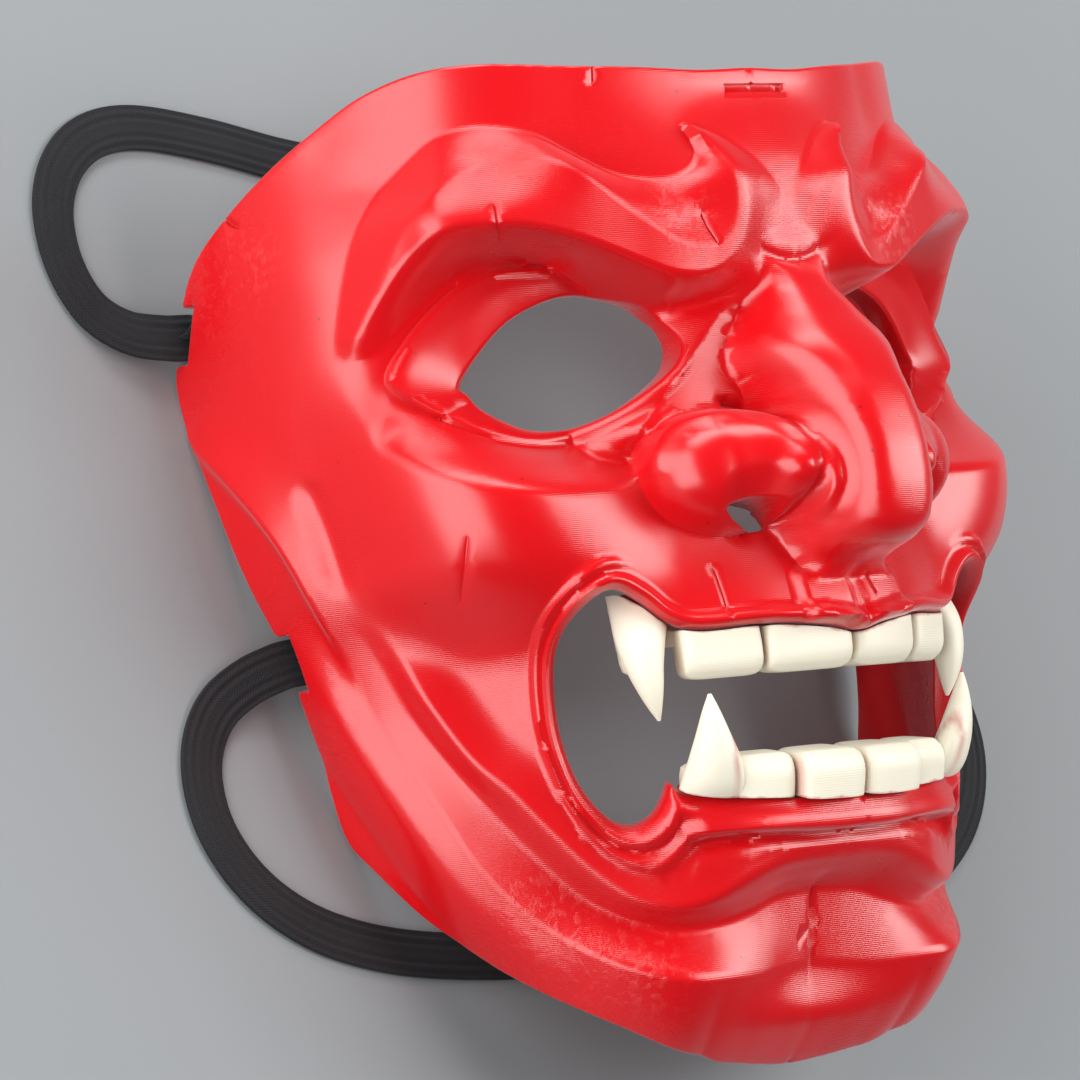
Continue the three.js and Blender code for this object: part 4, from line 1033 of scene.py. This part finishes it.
def triangles(points):
    links = []
    start = 0
    for edge, closed in EDGES:
        n = len(edge)
        links += [(start + i, start + i + 1) for i in range(n - 1)]
        if closed:
            links.append((start + n - 1, start))
        start += n
    found = geometry.delaunay_2d_cdt([Vector(p) for p in points], links, [], 0, 1e-6)
    back_to = [original[0] for original in found[3]]
    tris = np.array([[back_to[v] for v in face] for face in found[2]])
    a, b, c = (points[tris[:, k]] for k in range(3))
    centre = (a + b + c) / 3
    area = ((b[:, 0] - a[:, 0]) * (c[:, 1] - a[:, 1]) - (b[:, 1] - a[:, 1]) * (c[:, 0] - a[:, 0]))
    tris[area < 0] = tris[area < 0][:, [0, 2, 1]]
    return tris[on_sheet(centre[:, 0], centre[:, 1]) & (np.abs(area) > 1e-7)]


outer_triangles = triangles(outer_points)
inner_triangles = triangles(inner_points)
print("triangles on half the sheet:", len(outer_triangles), "and", len(inner_triangles))

# %% [markdown]
# The outer skin gets the full carving. Close to an edge it rolls over by a small
# radius, as a printed edge that has been sanded does. The inner skin follows the
# lowest carving close by, one wall below it, so that the wall is never thin. It is
# read from a table of heights, which is much quicker than carving it again.
# %% Heights of both skins
EDGE_RADIUS = 0.75
INNER_ROLL = 0.8


def rolled(distance):
    u = np.clip(1 - distance / EDGE_RADIUS, 0, 1)
    return EDGE_RADIUS * (1 - np.sqrt(1 - u * u))


def from_rim(x, y):
    return np.where(np.arange(len(x)) < len(boundary), 0, from_edges(x, y))


x, y = outer_points.T
outer_base = carve(x, y) - rolled(from_rim(x, y))
steps_s = np.arange(-10, 152.5, 1.0)
steps_y = np.arange(-140, 86.5, 1.0)
heights = carve(*np.meshgrid(steps_s, steps_y, indexing="ij"))


def read_heights(s, y):
    i = np.clip(np.abs(s) - steps_s[0], 0, len(steps_s) - 1.001)
    j = np.clip(y - steps_y[0], 0, len(steps_y) - 1.001)
    a, b = i.astype(int), j.astype(int)
    u, v = i - a, j - b
    return ((heights[a, b] * (1 - u) + heights[a + 1, b] * u) * (1 - v)
            + (heights[a, b + 1] * (1 - u) + heights[a + 1, b + 1] * u) * v)


x, y = inner_points.T
lowest = read_heights(x, y)
for reach in (WALL, WALL + 3):
    for a in np.arange(8) * math.pi / 4:
        beside_it = read_heights(x + reach * math.cos(a), y + reach * math.sin(a))
        lowest = np.minimum(lowest, beside_it)
inner_base = lowest - WALL
inner_base += rolled(from_rim(x, y)) * INNER_ROLL
print("outer heights", outer_base.min().round(1), "to", outer_base.max().round(1), "mm")

# %% Build the shell


def shell_mesh():
    places, faces = [], []
    count = len(boundary)
    ends = {}
    for tri in outer_triangles:
        for k in range(3):
            u, v = tri[k], tri[(k + 1) % 3]
            ends[(u, v)] = ends.get((v, u), 0) + 1
    rim_links = [(u, v) for (u, v) in ends if (v, u) not in ends and u < count and v < count]
    start = 0
    for side in (1, -1):
        x, y = outer_points.T
        outer = lifted(side * x, y, outer_base - small_marks(side * x, y))
        x, y = inner_points.T
        inner = lifted(side * x, y, inner_base)
        base_in = start + len(outer)
        places += [outer, inner]
        for tri in outer_triangles:
            faces.append([start + v for v in (tri if side > 0 else tri[::-1])])
        for tri in inner_triangles:
            faces.append([base_in + v for v in (tri[::-1] if side > 0 else tri)])
        for u, v in rim_links:
            quad = [start + v, start + u, base_in + u, base_in + v]
            faces.append(quad if side > 0 else quad[::-1])
        start = base_in + len(inner)
    mesh = bpy.data.meshes.new("mask")
    mesh.from_pydata(lay_down(np.vstack(places)).tolist(), [], [list(map(int, f)) for f in faces])
    return mesh


def open_edges(mesh):
    used = {}
    for face in mesh.polygons:
        for key in face.edge_keys:
            used[key] = used.get(key, 0) + 1
    return sum(1 for n in used.values() if n != 2)


mask_mesh = shell_mesh()
face_outwards(mask_mesh, 2e-6)
print("mask:", len(mask_mesh.polygons), "faces, edges left open:", open_edges(mask_mesh))

# %% [markdown]
# The teeth are separate cream pieces that stand behind the lips. They are first built
# on the flat sheet, where a row of teeth is straight: rounded blocks for the front
# teeth, curved cones for the fangs and a strip that joins them. One boolean union
# makes each row a single solid, and a cut keeps it clear of the lips.
# %% Rounded blocks and fangs


def piece_from(name, verts, faces):
    mesh = bpy.data.meshes.new(name)
    mesh.from_pydata([tuple(map(float, v)) for v in verts], [], faces)
    face_outwards(mesh, 1e-5)
    return put(name, mesh)


def tube_faces(around, lengths):
    faces = [[around * i + k, around * i + (k + 1) % around,
              around * (i + 1) + (k + 1) % around, around * (i + 1) + k]
             for i in range(lengths) for k in range(around)]
    last = around * lengths
    return faces + [list(range(around)), list(range(last, last + around))]


SQUARENESS = 7


def rounded_block(middle, half_size, bite=0, cuts=11):
    work = bmesh.new()
    bmesh.ops.create_cube(work, size=2)
    bmesh.ops.subdivide_edges(work, edges=work.edges, cuts=cuts, use_grid_fill=True)
    for v in work.verts:
        u = np.array(v.co)
        p = u * (np.abs(u) ** SQUARENESS).sum() ** (-1 / SQUARENESS) * half_size
        if bite:
            tip = np.clip((bite * u[1] - 0.35) / 0.65, 0, 1)
            p[2] -= 1.5 * tip ** 1.5 * np.clip(u[2], 0, 1)
            p[0] *= 1 - 0.035 * np.clip(-bite * u[1], 0, 1)
        v.co = p + middle
    verts = [tuple(v.co) for v in work.verts]
    faces = [[v.index for v in f.verts] for f in work.faces]
    work.free()
    return piece_from("block", verts, faces)


def fang(rings, sign, sides=22):
    rings = rounded(rings, 4)
    turns = [2 * math.pi * k / sides for k in range(sides)]
    verts = [(sign * (x + a * math.cos(t)), y, z + c * math.sin(t))
             for x, y, z, a, c in rings for t in turns]
    return piece_from("fang", verts, tube_faces(sides, len(rings) - 1))


# %% Join the pieces of a row


def combine(first, second, operation):
    modifier = first.modifiers.new("join", "BOOLEAN")
    modifier.operation = operation
    modifier.object = second
    modifier.solver = "MANIFOLD"
    result = first.evaluated_get(bpy.context.evaluated_depsgraph_get())
    mesh = bpy.data.meshes.new_from_object(result)
    first.modifiers.remove(modifier)
    first.data = mesh
    bpy.data.objects.remove(second)
    return first


LIP_GAP = 0.48
LIP_PLATE = (-0.5, 29.5)


def clear_of_lips():
    half = along_line(half_mouth, 1.2)
    ring = np.vstack([half, half[-2:0:-1] * [-1, 1]])
    ahead, behind = np.roll(ring, -1, 0), np.roll(ring, 1, 0)
    d = ahead - behind
    d /= np.linalg.norm(d, axis=1, keepdims=True)
    ring = ring + LIP_GAP * np.stack([d[:, 1], -d[:, 0]], -1)
    verts = [(x, y, z) for z in (-40, 60) for x, y in ring]
    hole = piece_from("mouth_hole", verts, tube_faces(len(ring), 1))
    corners = ((-150, -190), (150, -190), (150, 110), (-150, 110))
    box = [(x, y, z) for z in LIP_PLATE for x, y in corners]
    return combine(piece_from("lip_plate", box, tube_faces(4, 1)), hole, "DIFFERENCE")


STRIP_FACE, STRIP_BACK = -0.2, -4.2


def strip(reach, low, high):
    corners = [(low, STRIP_BACK), (high, STRIP_BACK), (high, STRIP_FACE), (low, STRIP_FACE)]
    verts = [(x, y, z) for x in np.linspace(-reach, reach, 41) for y, z in corners]
    return piece_from("strip", verts, tube_faces(4, 40))


# %% Make both rows of teeth
upper_gum = through([0, 8, 16, 24, 32, 40, 46, 54], [1.6, 1.2, 0.4, -0.5, -1.3, -1.9, -2.1, -2.7])
lower_gum = through([0, 8, 16, 24, 32, 40, 46], [-0.2, -0.1, 0.2, 0.4, 0.0, -1.4, -2.6])
UPPER_FANG = [
    (45.4, -33.5, -0.5, 7.2, 2.6), (46.6, -38, 2.2, 6.4, 3.4), (47.8, -43, 4.2, 5.4, 3.9),
    (48.1, -48, 5.2, 4.2, 3.6), (47.7, -52.5, 5.6, 3.0, 2.8), (47.1, -56.5, 5.5, 1.6, 1.6),
    (46.5, -59.3, 5.3, 0.35, 0.35)]
LOWER_FANG = [
    (37.2, -80, 1.8, 6.6, 2.8), (37.0, -76.5, 4.0, 7.1, 3.6), (36.8, -72.5, 6.6, 6.9, 4.2),
    (36.5, -67.5, 8.3, 5.5, 3.9), (36.7, -62.5, 9.3, 3.5, 3.0), (36.8, -58, 9.8, 1.8, 1.7),
    (36.8, -54.6, 10.1, 0.35, 0.35)]
UPPER_FRONTS = [(10.9, 20.2, 7.2), (30.9, 17.4, 7.2)]
LOWER_FRONTS = [(8.7, 16.4, 11.2), (25, 15, 8.4)]
FANG_ROOT = (4.6, 7, 3.4)


def teeth_row(name, fronts, rings, gum, bite, hidden, strip_edges, seams):
    row = strip(max(r[0] for r in rings) + 4, *strip_edges)
    toward = np.sign(bite - hidden)
    middle, half = (bite + hidden) / 2, abs(bite - hidden) / 2
    for x, width, front in fronts:
        for sign in (1, -1):
            block = rounded_block((sign * x, middle, (front - 3) / 2),
                                  (width / 2, half, (front + 3) / 2), toward)
            row = combine(row, block, "UNION")
    for sign in (1, -1):
        row = combine(row, fang(rings, sign), "UNION")
        root = (sign * rings[2][0], hidden + toward * 3, 0.6)
        row = combine(row, rounded_block(root, FANG_ROOT, cuts=5), "UNION")
    row = combine(row, clear_of_lips(), "DIFFERENCE")
    mesh = row.data
    p = np.array([v.co[:] for v in mesh.vertices])
    gumward = np.clip(1 - depth_in(mouth_loop, p[:, 0], p[:, 1]) / 2.6, 0, 1)
    between = np.max([bell((np.abs(p[:, 0]) - s) / 0.9) for s in seams], axis=0)
    for label, value in (("gumward", gumward), ("between", between)):
        kept = mesh.attributes.new(label, "FLOAT", "POINT")
        kept.data.foreach_set("value", value.astype(np.float32))
    h = gum(np.abs(p[:, 0])) + p[:, 2]
    placed = sheet_point(p[:, 0], p[:, 1]) + h[:, None] * sheet_normal(p[:, 0], p[:, 1])
    mesh.vertices.foreach_set("co", lay_down(placed).ravel())
    mesh.update()
    bpy.data.objects.remove(row)
    print(name + ":", len(mesh.polygons), "faces, edges left open:", open_edges(mesh))
    return show(name, mesh, sharp=45)


upper_teeth = teeth_row(
    "cream_upper_teeth", UPPER_FRONTS, UPPER_FANG, upper_gum, bite=-52, hidden=-40,
    strip_edges=(-45, -36), seams=(0, 21.6, 40.2))
lower_teeth = teeth_row(
    "cream_lower_teeth", LOWER_FRONTS, LOWER_FANG, lower_gum, bite=-67.2, hidden=-79,
    strip_edges=(-83, -74), seams=(0, 17.2, 32.8))
for teeth, solid in ((upper_teeth, "upper_teeth"), (lower_teeth, "lower_teeth")):
    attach(teeth, "root")
    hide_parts(solid)

# %% [markdown]
# Printed plastic is never quite even. One group serves the red and the cream: it gives
# the height of the fine layer lines, which lie across the face from chin to forehead,
# and a mask of specks and blemishes.
# %% Shared pattern of printed plastic


def printed_plastic():
    tree, given, result = new_group(
        "printed_plastic", "ShaderNodeTree",
        {"Place": "Vector", "Layer": 0.0006, "Patch Scale": 28.0, "Speck Scale": 260.0},
        {"Lines": "Float", "Unevenness": "Float", "Specks": "Float"})
    upright = node(tree, "ShaderNodeMapping", {
        "Vector": given["Place"], "Rotation": (-LYING_TILT, 0, 0)})
    height = node(tree, "ShaderNodeSeparateXYZ", {"Vector": upright.outputs[0]}).outputs[1]
    lines = waves(tree, "SINE", sum_of(tree, "DIVIDE", height, given["Layer"]), 1)
    patches = noise(tree, given["Place"], given["Patch Scale"], 4.0)
    dots = node(tree, "ShaderNodeTexVoronoi", {
        "Vector": given["Place"], "Scale": given["Speck Scale"]}).outputs
    chance = node(tree, "ShaderNodeSeparateColor", {"Color": dots["Color"]}).outputs[0]
    fill(tree, result, {
        "Lines": times(tree, lines, remap(tree, patches, 0.42, 0.68, 0.15, 1.0)),
        "Unevenness": patches,
        "Specks": times(tree, remap(tree, dots["Distance"], 0.05, 0.12, 1.0, 0.0),
                        sum_of(tree, "GREATER_THAN", chance, 0.93), clamp=True)})
    return tree


plastic_pattern = printed_plastic()


def new_plastic(name, layer):
    finish, tree, shader = new_finish(name)
    place = own_place(tree)
    pattern = node(tree, "ShaderNodeGroup", {"Place": place, "Layer": layer},
                   node_tree=plastic_pattern)
    return finish, tree, shader, place, pattern.outputs


def colour_mix(tree, amount, first, second):
    return node(tree, "ShaderNodeMix", {0: amount, 6: first, 7: second},
                data_type="RGBA").outputs[2]


# %% [markdown]
# The red is a glossy plastic. The picture shows wide soft highlights, so the surface is
# not a mirror: its roughness wanders, and on the jaw and by the upper notch it is
# stippled where supports were broken off. Those places are given on the object itself.
# %% Finish of the red plastic
red, tree, shader, place, pattern = new_plastic("red_plastic", layer=0.0004)


def spot_mask(tree, place, s, y, radius):
    s, y = np.array([float(s)]), np.array([float(y)])
    centre = tuple(lay_down(lifted(s, y, carve(s, y)))[0])
    apart = node(tree, "ShaderNodeVectorMath", {0: place, 1: centre}, operation="DISTANCE")
    return remap(tree, apart.outputs["Value"], radius * 0.35, radius, 1.0, 0.0,
                 interpolation_type="SMOOTHSTEP")


STIPPLED = [(-62, -106, 0.022), (-80, -98, 0.018), (-130, 36, 0.016), (-118, 40, 0.014),
            (66, -104, 0.020), (-26, 42, 0.010), (30, 40, 0.012)]
rough_places = spot_mask(tree, place, *STIPPLED[0])
for spot in STIPPLED[1:]:
    rough_places = sum_of(tree, "MAXIMUM", rough_places, spot_mask(tree, place, *spot))
stipple = times(tree, remap(tree, noise(tree, place, 520.0, 3.0), 0.5, 0.66), rough_places)
height = plus(tree, times(tree, pattern["Lines"], 0.14), times(tree, stipple, 0.5))
height = plus(tree, height, times(tree, noise(tree, place, 11.0, 2.0), 1.2))
roughness = times_plus(tree, pattern["Unevenness"], 0.12, 0.2)
roughness = times_plus(tree, stipple, 0.2, roughness)

# %% Colour and gloss of the red
RED, DEEP_RED = (0.66, 0.0014, 0.005, 1), (0.54, 0.001, 0.004, 1)
DARK_SPECK = (0.10, 0.002, 0.004, 1)
colour = colour_mix(tree, pattern["Unevenness"], RED, DEEP_RED)
colour = colour_mix(tree, times(tree, pattern["Specks"], 0.7), colour, DARK_SPECK)
fill(tree, shader, {
    "Base Color": colour, "Roughness": roughness, "Normal": bump(tree, height, 0.5, 0.00025),
    "IOR": 1.6, "Sheen Weight": 0.3, "Sheen Roughness": 0.35, "Sheen Tint": (1, 0.62, 0.68, 1)})
mask_mesh.materials.append(red)
mask = show("mask", mask_mesh, sharp=74)
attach(mask, "root")
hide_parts("mask_shell")

# %% [markdown]
# The teeth are a duller cream. Where they meet the gum and each other a little red has
# bled onto them. Two values stored on their vertices say where to paint it.
# %% Finish of the cream plastic
cream, tree, shader, place, pattern = new_plastic("cream_plastic", layer=0.0005)
fleck = noise(tree, place, 240.0, 3.0)
edge = plus(tree, times(tree, stored(tree, "gumward"), 1.15), times_plus(tree, fleck, 0.7, -1.0))
bleed = sum_of(tree, "MAXIMUM", remap(tree, edge, 0.1, 0.45),
               times(tree, stored(tree, "between"), 0.55))
IVORY, OLD_IVORY, GUM_RED = (0.84, 0.80, 0.66, 1), (0.77, 0.71, 0.56, 1), (0.42, 0.02, 0.02, 1)
ivory = colour_mix(tree, pattern["Unevenness"], IVORY, OLD_IVORY)
height = plus(tree, times(tree, pattern["Lines"], 0.15), times(tree, fleck, 0.6))
fill(tree, shader, {
    "Base Color": colour_mix(tree, bleed, ivory, GUM_RED),
    "Roughness": times_plus(tree, fleck, 0.2, 0.38), "Normal": bump(tree, height, 0.5, 0.0002)})
for teeth in (upper_teeth, lower_teeth):
    teeth.data.materials.clear()
    teeth.data.materials.append(cream)

# %% [markdown]
# The table is a plain pale grey sheet, large enough to fill the picture, and the light
# is that of a small studio. The mask lies, so the picture's left points down at the
# table: the left soft box stands near the camera, a little to that side, as low as the
# table lets it, and lays the wide pale highlights on temple, brow and cheek. A second
# lights the far cheek and the chin from the right, a third comes from the forehead's
# side, and an even grey all round keeps the shadows open.
# %% Table and studio light
TABLE_HALF = 6
TABLE_GREY = (0.27, 0.284, 0.293, 1)
floor_mesh = bpy.data.meshes.new("table")
corners = [(x * TABLE_HALF, y * TABLE_HALF, 0) for x, y in ((-1, -1), (1, -1), (1, 1), (-1, 1))]
floor_mesh.from_pydata(corners, [], [[0, 1, 2, 3]])
floor = put("table", floor_mesh)
table_finish, tree, shader = new_finish("pale_table")
fill(tree, shader, {"Base Color": TABLE_GREY, "Roughness": 0.9, "Specular IOR Level": 0.1})
floor_mesh.materials.append(table_finish)
heart = Vector(lay_down((0, -20, 70)))


def soft_box(name, sideways, upward, towards, size, power):
    light = bpy.data.lights.new(name, "AREA")
    light.shape = "RECTANGLE"
    light.size, light.size_y = size
    light.energy = power
    at = heart + view_right * sideways + view_above * upward + view_back * towards
    facing = (at - heart).to_track_quat("Z", "Y")
    put(name, light).matrix_world = Matrix.Translation(at) @ facing.to_matrix().to_4x4()


soft_box("left_soft_box", -0.52, 0.08, 0.8, size=(1.4, 0.8), power=16)
soft_box("right_soft_box", 1.3, 0.4, 0.25, size=(0.8, 1.5), power=24)
soft_box("top_soft_box", 0.0, 1.35, 0.35, size=(1.2, 0.5), power=12)
world = bpy.data.worlds.new("even_light")
bpy.context.scene.world = world
world.use_nodes = True
fill(world.node_tree, world.node_tree.nodes["Background"],
     {"Color": (0.92, 0.95, 1.0, 1), "Strength": 0.09})
bpy.context.scene.view_settings.view_transform = "Standard"

# %% [markdown]
# Last, the scene is brought up to date.
# %% Finish
bpy.context.view_layer.update()
